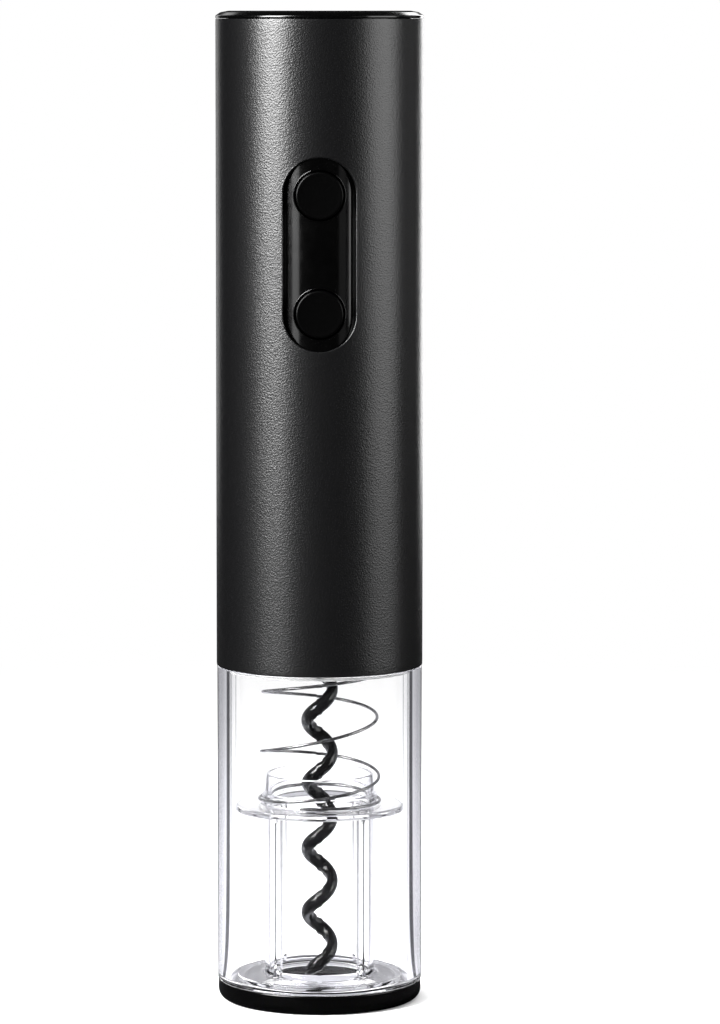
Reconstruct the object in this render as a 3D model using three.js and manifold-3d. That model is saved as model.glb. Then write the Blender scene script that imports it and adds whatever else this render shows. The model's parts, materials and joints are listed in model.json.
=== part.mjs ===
// Electric wine opener: an upright cylinder with its motor, gearbox and battery in a black shell, over a
// clear lower tube where the corkscrew turns inside a sprung cork guide.
// Millimetres, +Z up, origin at the middle of the base. The button panel faces -Y, the charging socket +Y.

import * as THREE from 'three';
import { mergeVertices } from 'three/addons/utils/BufferGeometryUtils.js';
import Module from 'manifold-3d';

// ---- Driving dimensions ----

const HEIGHT = 240;
const BODY_RADIUS = 25;
const WALL = 2.2;
const TUBE_TOP = 82;             // where the clear tube ends and the shell begins
const TUBE_BORE = 22;
const BASE_HEIGHT = 4.8;
const BASE_RADIUS = 24.7;
const BASE_FILLET = 3.5;
const BASE_LIP = 19.6;           // inner edge of the base ring's foot
const NECK_BORE = 18.3;          // the bottle's neck goes in here
const CAP_HEIGHT = 1.8;
const GAP = 0.3;                 // between pieces that meet

const SHELL_BORE = BODY_RADIUS - WALL;
const CAP_BOTTOM = HEIGHT - CAP_HEIGHT;
const SHELL_TOP = CAP_BOTTOM - 0.1;
const SHELL_BOTTOM = TUBE_TOP + 0.1;

// Clear tube: plug into the base below, spigot into the shell above
const TUBE_RADIUS = BODY_RADIUS - 0.15;
const RIB_INNER = 20.6;
const RIB_WIDTH = 1.2;
const RIB_LOW = 8;
const RIB_TOP = 80;
const SPIGOT_RADIUS = 22.6;
const SPIGOT_BORE = 21;
const SPIGOT_TOP = 90;
const PLUG_RADIUS = 22.9;
const PLUG_BOTTOM = 1.8;

// Cork guide and its spring
const GUIDE_BORE = 12.2;
const GUIDE_OUTER = 13.2;
const GUIDE_FOOT = 20;
const GUIDE_FLANGE = 20.3;
const GUIDE_BOTTOM = BASE_HEIGHT + GAP;
const FOOT_THICK = 1.4;
const GUIDE_RIB_RADIUS = 14.4;
const GUIDE_RIB_WIDTH = 1.4;
const FLANGE_LOW = 46.6;
const FLANGE_TOP = 48.2;
const COLLAR_STEP = 50.5;
const COLLAR_TOP = 55.5;
const SPRING_WIRE = 0.38;
const SPRING_PITCH = 14.6;
const SPRING_TURNS = [-1.3, 2.55];
const SPRING_HEIGHT = 54.1;      // height of the even coil where it first crosses +X
const SPRING_RADII = [14.65, 13.65];
const SPRING_LEAN = 0.8;         // how far the middle of the coil leans up towards +X

// Bulkhead that the spring pushes against
const BULKHEAD_LOW = 80.8;
const BULKHEAD_TOP = 83.3;
const BULKHEAD_RADIUS = 21.8;
const BULKHEAD_HOLE = 6.5;
const BULKHEAD_LIP = [12, 12.9];
const BULKHEAD_LIP_DEPTH = 1.2;

// Corkscrew
const WORM_WIRE = 1.5;
const WORM_RADIUS = 3.1;
const WORM_PITCH = 15.75;
const WORM_TIP = 4.9;
const WORM_RIGHTMOST = 13.1;     // a height where the coil is furthest to +X
const STRAIGHTENS = [77.5, 83.3]; // the coil runs in to the axis between these heights
const SHANK_TOP = 87.4;
const HOLDER_LOW = 83.6;
const HOLDER_TOP = 92;
const HOLDER_RADIUS = 6;
const HOLDER_WEB = [SHANK_TOP + 0.2, 88.8];
const SHANK_BORE = 1.65;
const STUB_BORE = 3.25;

// Planetary gears, two stages of 12, 18 and 48 teeth
const MODULE = 0.5;
const PRESSURE = THREE.MathUtils.degToRad(25);
const SUN_TEETH = 12;
const PLANET_TEETH = 18;
const RING_TEETH = 48;
const PLANETS = 3;
const BACKLASH = 0.06;
const CARRIER_RADIUS = 10.8;
const PIN_RADIUS = 1.2;
const PLANET_BORE = 1.3;
const PIN_SIDES = 10;
const GEARBOX_RADIUS = 16;
const GEARBOX_SCREW_CIRCLE = 14.3;
const COVER_LOW = 93;
const COVER_TOP = 96;
const STUB_LOW = 89.1;           // the output carrier's stub, held by the worm holder
const STUB_RADIUS = 3;
const OUTPUT_DISC = [97.2, 99.4];
const SECOND_PLANETS = [99.7, 104.4];
const SECOND_SUN = [99.9, 104.3];
const FIRST_DISC = [105, 107];
const FIRST_PLANETS = [107.3, 112.2];
const FIRST_SUN = [107.5, 112.4];
const GEARBOX_SCREW_LENGTH = 21.8;
const RING_LOW = 96.1;
const RING_TOP = 113.1;
const PLATE_LOW = 113.2;
const PLATE_TOP = 115.2;
const PLATE_RADIUS = 19.6;
const ORBIT = MODULE * (SUN_TEETH + PLANET_TEETH) / 2;

// Motor
const MOTOR_RADIUS = 12.2;
const MOTOR_LOW = PLATE_TOP + 0.2;
const MOTOR_TOP = 146;
const MOTOR_SCREW_X = 8;
const MOTOR_SCREW_LENGTH = 2.8;
const CAN_THICK = 0.8;
const SHAFT_RADIUS = 1;
const SHAFT_LOW = 107.7;
const SHAFT_TOP = 148.4;
const ROTOR_RADIUS = 8.6;
const ROTOR = [119, 139];
const COMMUTATOR_TOP = 143.5;
const MAGNET_RADII = [9.2, 11.1];
const MAGNET_LOW = 118;
const MAGNET_LENGTH = 22;
const MAGNET_HALF_ANGLE = THREE.MathUtils.degToRad(62);

// Chassis, two half tubes inside the shell
const CHASSIS_RADIUS = 22.6;
const CHASSIS_BORE = 21;
const CHASSIS_LOW = 90.5;
const CHASSIS_TOP = 232;
const BATTERY_SHELF = 150.4;
const TOP_SHELF = 220.4;
const SHELF_THICK = 1.6;
const BOSS_X = 16.5;
const BOSS_HALF = 7;
const BOSS_HEIGHTS = [128, 227];
const BOSS_RADIUS = 2.4;
const POST_RADIUS = 1.9;
const CHASSIS_SCREW_LENGTH = 11.5;

// Battery
const BATTERY_RADIUS = 9.2;
const BATTERY_LENGTH = 65;
const BATTERY_LOW = 153.6;
const BATTERY_Y = 8;
const TERMINAL_RADIUS = 3.2;
const TAB_THICK = 0.4;

// Control panel and its board
const PANEL_HALF_WIDTH = 8.6;
const PANEL_LOW = 159.7;
const PANEL_TOP = 205.5;
const PANEL_FRONT = -24.4;
const PANEL_CURVE = 15;
const PANEL_BACK = -18.4;
const PANEL_LIP = 1.8;
const BUTTON_RADIUS = 5.65;
const BUTTON_HOLE = 6.15;
const BUTTON_FRONT = -25;
const BUTTON_HEIGHTS = { up: 196.6, down: 168.6 };
const BOARD_FRONT = -12.2;
const BOARD_BACK = -10.6;
const BOARD_HALF_WIDTH = 11;
const BOARD_LOW = 152.6;
const BOARD_TOP = 214.6;
const BOARD_SCREW_HEIGHTS = [154.6, 212.4];
const BOARD_SCREW_LENGTH = 5.6;
const SWITCH_HALF = 3;
const SWITCH_DEPTH = 3.3;
const KEY_FLANGE = 7;

// Charging socket
const SOCKET_HEIGHT = 225.6;
const SOCKET_WIDTH = 9;
const SOCKET_THICK = 3.2;
const SOCKET_BACK = 16.4;
const SOCKET_MOUTH = 23.7;
const SOCKET_WALL = 0.35;
const CHARGE_BOARD_LOW = TOP_SHELF + 2;
const LED_X = 7.8;
const LED_RADIUS = 0.95;
const WIRE_RADIUS = 0.6;

// Screws
const SCREW_RADIUS = 0.9;
const SCREW_HOLE = 1.1;
const SCREW_HEAD = 1.8;

// Roundness: sides of large, middling and small circles
const ROUND = 32;
const MIDDLING = 16;
const SMALL = 8;

// ---- Solids ----

const wasm = await Module();
wasm.setup();

// A closed geometry as a solid: shared corners merged, flat triangles left out
function solidOf(geometry) {
  geometry.deleteAttribute('normal');
  geometry.deleteAttribute('uv');
  const merged = mergeVertices(geometry, 1e-4);
  const corners = merged.index.array;
  const triangles = [];
  for (let i = 0; i < corners.length; i += 3) {
    const [a, b, c] = corners.slice(i, i + 3);
    if (a !== b && b !== c && c !== a) {
      triangles.push(a, b, c);
    }
  }
  const vertProperties = Float32Array.from(merged.attributes.position.array);
  const triVerts = Uint32Array.from(triangles);
  return new wasm.Manifold(new wasm.Mesh({ numProp: 3, vertProperties, triVerts }));
}

function geometryOf(solid) {
  const { vertProperties, triVerts } = solid.getMesh();
  const geometry = new THREE.BufferGeometry();
  geometry.setAttribute('position', new THREE.BufferAttribute(Float32Array.from(vertProperties), 3));
  geometry.setIndex(new THREE.BufferAttribute(Uint32Array.from(triVerts), 1));
  geometry.computeVertexNormals();
  return geometry;
}

// A body of revolution about Z. The profile's [radius, height] points run counter-clockwise, from axis to
// axis or round a closed loop.
function turned(profile, segments = ROUND) {
  const points = profile.map(([radius, height]) => new THREE.Vector2(radius, height));
  if (points[0].x > 0) {
    points.push(points[0].clone());
  }
  return solidOf(new THREE.LatheGeometry(points, segments).rotateX(Math.PI / 2));
}

function ring(inner, outer, low, high, segments = ROUND) {
  return turned([[inner, low], [outer, low], [outer, high], [inner, high]], segments);
}

function rod(radius, low, high, segments = SMALL) {
  return turned([[0, low], [radius, low], [radius, high], [0, high]], segments);
}

// An upright rod standing away from the axis
function rodAt(x, y, radius, low, high, segments = SMALL) {
  const geometry = new THREE.CylinderGeometry(radius, radius, high - low, segments);
  return solidOf(geometry.rotateX(Math.PI / 2).translate(x, y, (low + high) / 2));
}

// A rod that lies along Y
function rodAlongY(x, z, radius, near, far, segments = SMALL) {
  const geometry = new THREE.CylinderGeometry(radius, radius, far - near, segments);
  return solidOf(geometry.translate(x, (near + far) / 2, z));
}

function block(x, y, z) {
  const geometry = new THREE.BoxGeometry(x[1] - x[0], y[1] - y[0], z[1] - z[0]);
  return solidOf(geometry.translate((x[0] + x[1]) / 2, (y[0] + y[1]) / 2, (z[0] + z[1]) / 2));
}

// An outline of [x, y] points made into an upright prism
function prism(outline, low, high) {
  const shape = new THREE.Shape(outline.map(([x, y]) => new THREE.Vector2(x, y)));
  const geometry = new THREE.ExtrudeGeometry(shape, { depth: high - low, bevelEnabled: false });
  return solidOf(geometry.translate(0, 0, low));
}

// A slot with round ends, seen along Y
function pill(halfWidth, halfLength, across, centre, near, far, segments = SMALL) {
  const radius = Math.min(halfWidth, halfLength);
  const outline = new THREE.Shape();
  const [reachX, reachZ] = [halfWidth - radius, halfLength - radius];
  outline.absarc(across + reachX, centre + reachZ, radius, 0, Math.PI / 2);
  outline.absarc(across - reachX, centre + reachZ, radius, Math.PI / 2, Math.PI);
  outline.absarc(across - reachX, centre - reachZ, radius, Math.PI, Math.PI * 1.5);
  outline.absarc(across + reachX, centre - reachZ, radius, Math.PI * 1.5, Math.PI * 2);
  const options = { depth: far - near, bevelEnabled: false, curveSegments: segments };
  const geometry = new THREE.ExtrudeGeometry(outline, options);
  return solidOf(geometry.rotateX(Math.PI / 2).translate(0, far, 0));
}

// A round wire swept along a curve
function sweep(curve, radius, steps, sides) {
  const section = [];
  for (let i = 0; i < sides; i += 1) {
    const angle = 2 * Math.PI * i / sides;
    section.push(new THREE.Vector2(radius * Math.cos(angle), radius * Math.sin(angle)));
  }
  const options = { steps, extrudePath: curve, bevelEnabled: false };
  return solidOf(new THREE.ExtrudeGeometry(new THREE.Shape(section), options));
}

// A quarter turn of [radius, height] points about a centre
function arc(radius, height, size, from, to, steps = 3) {
  const points = [];
  for (let i = 0; i <= steps; i += 1) {
    const angle = THREE.MathUtils.degToRad(from + (to - from) * i / steps);
    points.push([radius + size * Math.cos(angle), height + size * Math.sin(angle)]);
  }
  return points;
}

function around(count, make) {
  return Array.from({ length: count }, (_, i) => make(2 * Math.PI * i / count));
}

function joined(first, ...others) {
  return others.reduce((sum, other) => sum.add(other), first);
}

function cut(first, ...others) {
  return others.reduce((rest, other) => rest.subtract(other), first);
}

// ---- Gears ----

// Angle between an involute's start and the point where its pressure angle is this one
function involute(angle) {
  return Math.tan(angle) - angle;
}

// Outline of involute teeth, the first one centred on +X. Half of each tooth is as wide as the pitch gives,
// with `extra` added along the pitch circle.
function toothOutline(teeth, rootRadius, tipRadius, extra) {
  const pitchRadius = MODULE * teeth / 2;
  const baseRadius = pitchRadius * Math.cos(PRESSURE);
  const halfAtPitch = Math.PI / (2 * teeth) + extra / pitchRadius;
  const halfAt = (radius) => {
    const reached = Math.acos(Math.min(1, baseRadius / radius));
    return halfAtPitch + involute(PRESSURE) - involute(reached);
  };
  const flank = [rootRadius, pitchRadius, tipRadius];
  const outline = [];
  for (let tooth = 0; tooth < teeth; tooth += 1) {
    const centre = 2 * Math.PI * tooth / teeth;
    for (const radius of flank) {
      const angle = centre - halfAt(radius);
      outline.push([radius * Math.cos(angle), radius * Math.sin(angle)]);
    }
    for (const radius of [...flank].reverse()) {
      const angle = centre + halfAt(radius);
      outline.push([radius * Math.cos(angle), radius * Math.sin(angle)]);
    }
  }
  return outline;
}

function gear(teeth, low, high) {
  const pitchRadius = MODULE * teeth / 2;
  const outline = toothOutline(teeth, pitchRadius - 1.25 * MODULE, pitchRadius + MODULE, -BACKLASH);
  return prism(outline, low, high);
}

function turn(solid, angle) {
  return solid.rotate([0, 0, THREE.MathUtils.radToDeg(angle)]);
}

function sunGear(low, high) {
  return gear(SUN_TEETH, low, high);
}

// Out at the orbit, with a gap between teeth facing outwards
function planetGear(low, high) {
  const wheel = turn(gear(PLANET_TEETH, low, high), Math.PI / PLANET_TEETH);
  return cut(wheel, rod(PLANET_BORE, low - 1, high + 1, PIN_SIDES)).translate([ORBIT, 0, 0]);
}

function gearboxScrewHoles(low, high) {
  return around(3, (angle) => {
    const spot = angle + Math.PI / 3;
    const [x, y] = [GEARBOX_SCREW_CIRCLE * Math.cos(spot), GEARBOX_SCREW_CIRCLE * Math.sin(spot)];
    return rodAt(x, y, SCREW_HOLE, low, high);
  });
}

function ringGear() {
  const pitchRadius = MODULE * RING_TEETH / 2;
  const teeth = toothOutline(RING_TEETH, pitchRadius - MODULE, pitchRadius + 1.25 * MODULE, BACKLASH);
  const hollow = turn(prism(teeth, RING_LOW - 1, RING_TOP + 1), Math.PI / RING_TEETH);
  return cut(rod(GEARBOX_RADIUS, RING_LOW, RING_TOP, ROUND), hollow,
    ...gearboxScrewHoles(RING_LOW - 1, RING_TOP + 1));
}

// Three pins that planets turn on
function planetPins(low, high) {
  return around(PLANETS, (angle) => rodAt(ORBIT * Math.cos(angle), ORBIT * Math.sin(angle),
    PIN_RADIUS, low, high, PIN_SIDES));
}

// ---- Outer pieces ----

function baseRing() {
  const fillet = arc(BASE_RADIUS - BASE_FILLET, BASE_FILLET, BASE_FILLET, -90, 0);
  const seat = { radius: PLUG_RADIUS + 0.2, height: PLUG_BOTTOM - 0.2 };
  return turned([
    [BASE_LIP + 0.4, 0], ...fillet, [BASE_RADIUS, BASE_HEIGHT], [seat.radius, BASE_HEIGHT],
    [seat.radius, seat.height], [BASE_LIP, seat.height], [BASE_LIP, 0.4],
  ]);
}

function tubeRibs(inner, low, high) {
  return around(4, (angle) => turn(block([inner, TUBE_BORE + 0.4], [-RIB_WIDTH / 2, RIB_WIDTH / 2],
    [low, high]), angle));
}

// Its floor has a hole for the bottle's neck and carries the cork guide
function clearTube() {
  const seat = BULKHEAD_TOP + GAP;
  const wall = turned([
    [NECK_BORE, PLUG_BOTTOM], [PLUG_RADIUS, PLUG_BOTTOM], [PLUG_RADIUS, BASE_HEIGHT + 0.1],
    [TUBE_RADIUS, BASE_HEIGHT + 0.1], [TUBE_RADIUS, TUBE_TOP], [SPIGOT_RADIUS, TUBE_TOP],
    [SPIGOT_RADIUS, SPIGOT_TOP], [SPIGOT_BORE, SPIGOT_TOP], [SPIGOT_BORE, seat], [TUBE_BORE, seat],
    [TUBE_BORE, BASE_HEIGHT + 0.8], [TUBE_BORE - 0.8, BASE_HEIGHT], [NECK_BORE, BASE_HEIGHT],
  ]);
  return joined(wall, ...tubeRibs(RIB_INNER, RIB_LOW, RIB_TOP));
}

// Disc with a lip that centres the spring, and notches that slide past the tube's ribs
function bulkhead() {
  const [inner, outer] = BULKHEAD_LIP;
  const lipLow = BULKHEAD_LOW - BULKHEAD_LIP_DEPTH;
  const disc = turned([
    [BULKHEAD_HOLE, BULKHEAD_LOW], [inner, BULKHEAD_LOW], [inner, lipLow], [outer, lipLow],
    [outer, BULKHEAD_LOW], [BULKHEAD_RADIUS, BULKHEAD_LOW],
    [BULKHEAD_RADIUS, BULKHEAD_TOP], [BULKHEAD_HOLE, BULKHEAD_TOP],
  ]);
  const notches = around(4, (angle) => turn(block([RIB_INNER - GAP, BODY_RADIUS],
    [-RIB_WIDTH / 2 - GAP, RIB_WIDTH / 2 + GAP], [BULKHEAD_LOW - 1, BULKHEAD_TOP + 1]), angle));
  return cut(disc, ...notches);
}

function panelWindow() {
  const [centre, half] = [(PANEL_LOW + PANEL_TOP) / 2, (PANEL_TOP - PANEL_LOW) / 2];
  return pill(PANEL_HALF_WIDTH + 0.15, half + 0.15, 0, centre, -30, -10);
}

function outerShell() {
  const socketSlot = pill(SOCKET_WIDTH / 2 + GAP, SOCKET_THICK / 2 + GAP, 0, SOCKET_HEIGHT, 15, 30, 6);
  const ledHole = rodAlongY(LED_X, SOCKET_HEIGHT, LED_RADIUS + 0.25, 15, 30);
  return cut(ring(SHELL_BORE, BODY_RADIUS, SHELL_BOTTOM, SHELL_TOP), panelWindow(), socketSlot, ledHole);
}

function topCap() {
  return turned([
    [0, CAP_BOTTOM - 1], [20.9, CAP_BOTTOM - 1], [20.9, CAP_BOTTOM - 5], [22.4, CAP_BOTTOM - 5],
    [22.4, CAP_BOTTOM], [BODY_RADIUS, CAP_BOTTOM], [BODY_RADIUS, HEIGHT - 1.3], [24.5, HEIGHT - 0.7],
    [22.3, HEIGHT], [0, HEIGHT],
  ]);
}

// A bulging pill in the shell's window, with a lip behind the wall and a hole for each button
function buttonPanel() {
  const [centre, half] = [(PANEL_LOW + PANEL_TOP) / 2, (PANEL_TOP - PANEL_LOW) / 2];
  const plug = pill(PANEL_HALF_WIDTH, half, 0, centre, -30, PANEL_BACK);
  const bulge = rodAt(0, PANEL_FRONT + PANEL_CURVE, PANEL_CURVE, PANEL_LOW - 1, PANEL_TOP + 1, ROUND);
  const lip = pill(PANEL_HALF_WIDTH + PANEL_LIP, half + PANEL_LIP, 0, centre, PANEL_BACK - 1.4, PANEL_BACK);
  const holes = Object.values(BUTTON_HEIGHTS).map((z) => rodAlongY(0, z, BUTTON_HOLE, -30, -10, MIDDLING));
  return cut(joined(plug.intersect(bulge), lip), ...holes);
}

// A flat round key with a chamfered edge and a flange that keeps it behind the panel
function button(height) {
  const keyDepth = PANEL_BACK + 0.2 - BUTTON_FRONT;
  const key = turned([
    [0, -keyDepth - 1], [KEY_FLANGE, -keyDepth - 1], [KEY_FLANGE, -keyDepth], [BUTTON_RADIUS, -keyDepth],
    [BUTTON_RADIUS, -0.35], [BUTTON_RADIUS - 0.35, 0], [0, 0],
  ], MIDDLING);
  return key.rotate([90, 0, 0]).translate([0, BUTTON_FRONT, height]);
}

// ---- Cork guide, spring and corkscrew ----

// A tube with a foot, a flange for the spring and four ribs between them, and a stepped collar above
function corkGuide() {
  const footTop = GUIDE_BOTTOM + FOOT_THICK;
  const body = turned([
    [GUIDE_BORE, GUIDE_BOTTOM], [GUIDE_FOOT, GUIDE_BOTTOM], [GUIDE_FOOT, footTop],
    [GUIDE_OUTER + 0.8, footTop], [GUIDE_OUTER, footTop + 0.8],
    [GUIDE_OUTER, FLANGE_LOW - 0.6], [GUIDE_OUTER + 0.6, FLANGE_LOW], [GUIDE_FLANGE, FLANGE_LOW],
    [GUIDE_FLANGE, FLANGE_TOP], [GUIDE_OUTER + 0.8, FLANGE_TOP], [GUIDE_OUTER + 0.8, COLLAR_STEP],
    [GUIDE_OUTER + 0.2, COLLAR_STEP + 0.5], [GUIDE_OUTER - 0.25, COLLAR_TOP], [GUIDE_BORE, COLLAR_TOP],
  ]);
  const rib = block([GUIDE_BORE + 0.5, GUIDE_RIB_RADIUS], [-GUIDE_RIB_WIDTH / 2, GUIDE_RIB_WIDTH / 2],
    [footTop - 0.5, FLANGE_LOW + 0.5]);
  return joined(body, ...around(4, (angle) => turn(rib, angle + Math.PI / 4)));
}

// Compression spring on the guide's flange: even turns that close up at both ends
class SpringCurve extends THREE.Curve {
  getPoint(t) {
    const [low, high] = [FLANGE_TOP + 0.45, BULKHEAD_LOW - 0.45];
    const turns = THREE.MathUtils.lerp(...SPRING_TURNS, t);
    const angle = 2 * Math.PI * turns;
    const climb = SPRING_HEIGHT + SPRING_PITCH * turns;
    const closing = (rise) => (rise + Math.hypot(rise, 2.8)) / 2;
    const height = low + closing(climb - low) - closing(climb - high);
    const radius = THREE.MathUtils.mapLinear(height, low, high, ...SPRING_RADII);
    const lean = SPRING_LEAN * Math.sin(Math.PI * (height - low) / (high - low)) * Math.cos(angle);
    return new THREE.Vector3(radius * Math.cos(angle), radius * Math.sin(angle), height + lean);
  }
}

function guideSpring() {
  return sweep(new SpringCurve(), SPRING_WIRE, 76, 5);
}

// Right-handed coil that runs in to the axis at its top and goes up as a straight shank
class WormCurve extends THREE.Curve {
  getPoint(t) {
    const height = THREE.MathUtils.lerp(WORM_TIP, SHANK_TOP, t);
    const radius = WORM_RADIUS * (1 - THREE.MathUtils.smoothstep(height, ...STRAIGHTENS));
    const angle = 2 * Math.PI * (height - WORM_RIGHTMOST) / WORM_PITCH;
    return new THREE.Vector3(radius * Math.cos(angle), radius * Math.sin(angle), height);
  }
}

function corkscrew() {
  return sweep(new WormCurve(), WORM_WIRE, 80, 6);
}

function wormHolder() {
  const [webLow, webTop] = HOLDER_WEB;
  return turned([
    [0, webLow], [SHANK_BORE, webLow], [SHANK_BORE, HOLDER_LOW], [HOLDER_RADIUS - 0.8, HOLDER_LOW],
    [HOLDER_RADIUS, HOLDER_LOW + 0.8], [HOLDER_RADIUS, HOLDER_TOP],
    [STUB_BORE, HOLDER_TOP], [STUB_BORE, webTop], [0, webTop],
  ], MIDDLING);
}

// ---- Gearbox ----

function outputCarrier() {
  const [low, top] = OUTPUT_DISC;
  const disc = turned([
    [0, STUB_LOW], [STUB_RADIUS, STUB_LOW], [STUB_RADIUS, low], [CARRIER_RADIUS, low],
    [CARRIER_RADIUS, top], [0, top],
  ], MIDDLING);
  return joined(disc, ...planetPins(top - 0.9, SECOND_PLANETS[1] + 0.2));
}

function outputBush() {
  const [bore, outer, low, top] = [STUB_RADIUS + 0.1, 4.6, COVER_LOW - 0.6, OUTPUT_DISC[0] - 0.3];
  return turned([
    [bore, low], [outer, low], [outer, COVER_TOP + 0.1], [outer + 1.4, COVER_TOP + 0.1],
    [outer + 1.4, top], [bore, top],
  ], MIDDLING);
}

function gearboxCover() {
  return cut(ring(4.8, GEARBOX_RADIUS, COVER_LOW, COVER_TOP),
    ...gearboxScrewHoles(COVER_LOW - 1, COVER_TOP + 1));
}

function firstCarrier() {
  const [low, top] = FIRST_DISC;
  const neck = { radius: 2.3, low: low - 0.8 };
  const disc = turned([
    [0, neck.low], [neck.radius, neck.low], [neck.radius, low], [CARRIER_RADIUS, low],
    [CARRIER_RADIUS, top], [0, top],
  ], MIDDLING);
  return joined(disc, sunGear(...SECOND_SUN), ...planetPins(top - 1, FIRST_PLANETS[1] + 0.2));
}

function gearboxPlate() {
  const plate = ring(2 * SHAFT_RADIUS, PLATE_RADIUS, PLATE_LOW, PLATE_TOP);
  const [below, above] = [PLATE_LOW - 1, PLATE_TOP + 1];
  const motorHoles = [-MOTOR_SCREW_X, MOTOR_SCREW_X].flatMap((x) => [
    rodAt(x, 0, SCREW_HOLE, below, above),
    rodAt(x, 0, SCREW_HEAD + 0.2, below, PLATE_LOW + 1),
  ]);
  return cut(plate, ...motorHoles, ...gearboxScrewHoles(below, above));
}

// ---- Motor ----

function motorCan() {
  const [bore, inside, floor] = [1.5, MOTOR_RADIUS - CAN_THICK, MOTOR_LOW + 1];
  const can = turned([
    [bore, MOTOR_LOW], [MOTOR_RADIUS, MOTOR_LOW], [MOTOR_RADIUS, MOTOR_TOP],
    [inside, MOTOR_TOP], [inside, floor], [bore, floor],
  ], MIDDLING);
  return cut(can, ...[-MOTOR_SCREW_X, MOTOR_SCREW_X].map((x) => rodAt(x, 0, SCREW_HOLE,
    MOTOR_LOW - 1, floor + 1)));
}

// Curved magnet on one side of the rotor
function motorMagnet(side) {
  const [inner, outer] = MAGNET_RADII;
  const [from, to] = [side - MAGNET_HALF_ANGLE, side + MAGNET_HALF_ANGLE];
  const shape = new THREE.Shape();
  shape.absarc(0, 0, outer, from, to);
  shape.absarc(0, 0, inner, to, from, true);
  const options = { depth: MAGNET_LENGTH, bevelEnabled: false, curveSegments: 10 };
  return solidOf(new THREE.ExtrudeGeometry(shape, options).translate(0, 0, MAGNET_LOW));
}

function motorRotor() {
  const [low, top] = ROTOR;
  const core = turned([
    [0, SHAFT_LOW], [SHAFT_RADIUS, SHAFT_LOW], [SHAFT_RADIUS, low], [ROTOR_RADIUS, low],
    [ROTOR_RADIUS, top], [3, top], [3, COMMUTATOR_TOP], [SHAFT_RADIUS, COMMUTATOR_TOP],
    [SHAFT_RADIUS, SHAFT_TOP], [0, SHAFT_TOP],
  ], MIDDLING);
  const slot = block([5, ROTOR_RADIUS + 1], [-0.6, 0.6], [low - 1, top + 1]);
  return cut(core, ...around(5, (angle) => turn(slot, angle)));
}

function motorPinion() {
  const [low, top] = FIRST_SUN;
  return cut(sunGear(low, top), rod(SHAFT_RADIUS + 0.1, low - 0.5, top + 0.5));
}

function motorEndCap() {
  const [bore, plug, rest] = [1.3, MOTOR_RADIUS - CAN_THICK - GAP, MOTOR_TOP + 0.2];
  return turned([
    [bore, MOTOR_TOP - 1.4], [plug, MOTOR_TOP - 1.4], [plug, rest],
    [MOTOR_RADIUS, rest], [MOTOR_RADIUS, MOTOR_TOP + 2], [bore, MOTOR_TOP + 2],
  ], MIDDLING);
}

// ---- Chassis ----

// Whole tube with everything that stands on it, before it is split into halves
function wholeChassis() {
  const tube = ring(CHASSIS_BORE, CHASSIS_RADIUS, CHASSIS_LOW, CHASSIS_TOP);
  const inset = CHASSIS_BORE + 0.5;
  const seats = [
    ring(GEARBOX_RADIUS + 0.6, inset, PLATE_LOW - 2.6, PLATE_LOW - 0.2),
    ring(GEARBOX_RADIUS + 0.6, inset, PLATE_TOP + 0.2, PLATE_TOP + 2.2),
  ];
  const shelves = [BATTERY_SHELF, TOP_SHELF].map((z) => rod(inset, z, z + SHELF_THICK, ROUND));
  const bosses = [];
  const holes = [];
  for (const z of BOSS_HEIGHTS) {
    for (const x of [-BOSS_X, BOSS_X]) {
      const outward = Math.sign(x) * (CHASSIS_BORE + 0.6);
      const web = [Math.min(x, outward), Math.max(x, outward)];
      bosses.push(rodAlongY(x, z, BOSS_RADIUS, -BOSS_HALF, BOSS_HALF));
      bosses.push(block(web, [-BOSS_HALF, BOSS_HALF], [z - 1, z + 1]));
      holes.push(rodAlongY(x, z, SCREW_HOLE, -BOSS_HALF + 1.5, BOSS_HALF + 1, 12));
    }
  }
  return cut(joined(tube, ...seats, ...shelves, ...bosses), ...holes);
}

function chassisFront(whole) {
  const [postFront, postBack] = [-CHASSIS_BORE - 0.5, BOARD_FRONT - 0.2];
  const posts = BOARD_SCREW_HEIGHTS.map((z) => rodAlongY(0, z, POST_RADIUS, postFront, postBack));
  const postHoles = BOARD_SCREW_HEIGHTS.map((z) => rodAlongY(0, z, SCREW_HOLE, -18, -10, 12));
  const wireHoles = [
    ...[-8, 8].map((x) => rodAt(x, -4, 1.3, BATTERY_SHELF - 0.4, BATTERY_SHELF + 2.6)),
    rodAt(-6, -6.2, 2.2, TOP_SHELF - 0.4, TOP_SHELF + 2.6),
  ];
  const window = block([-11.2, 11.2], [-30, -14], [PANEL_LOW - 2.9, PANEL_TOP + 2.9]);
  const backHalf = block([-30, 30], [-0.15, 30], [CHASSIS_LOW - 10, HEIGHT]);
  return cut(joined(cut(whole, backHalf, window, ...wireHoles), ...posts), ...postHoles);
}

function chassisBack(whole) {
  const port = block([-9.6, 9.6], [14, 30], [SOCKET_HEIGHT - 3.3, SOCKET_HEIGHT + 3]);
  const frontHalf = block([-30, 30], [-30, 0.15], [CHASSIS_LOW - 10, HEIGHT]);
  return cut(whole, frontHalf, port);
}

// ---- Battery and electronics ----

function batteryCell() {
  const top = BATTERY_LOW + BATTERY_LENGTH;
  const cell = turned([
    [0, BATTERY_LOW], [BATTERY_RADIUS, BATTERY_LOW], [BATTERY_RADIUS, top - 1],
    [TERMINAL_RADIUS, top - 1], [TERMINAL_RADIUS, top], [0, top],
  ], MIDDLING);
  return cell.translate([0, BATTERY_Y, 0]);
}

function batteryTab(low) {
  return block([-5, 5], [BATTERY_Y - 10.4, BATTERY_Y + 4], [low, low + TAB_THICK]);
}

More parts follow.
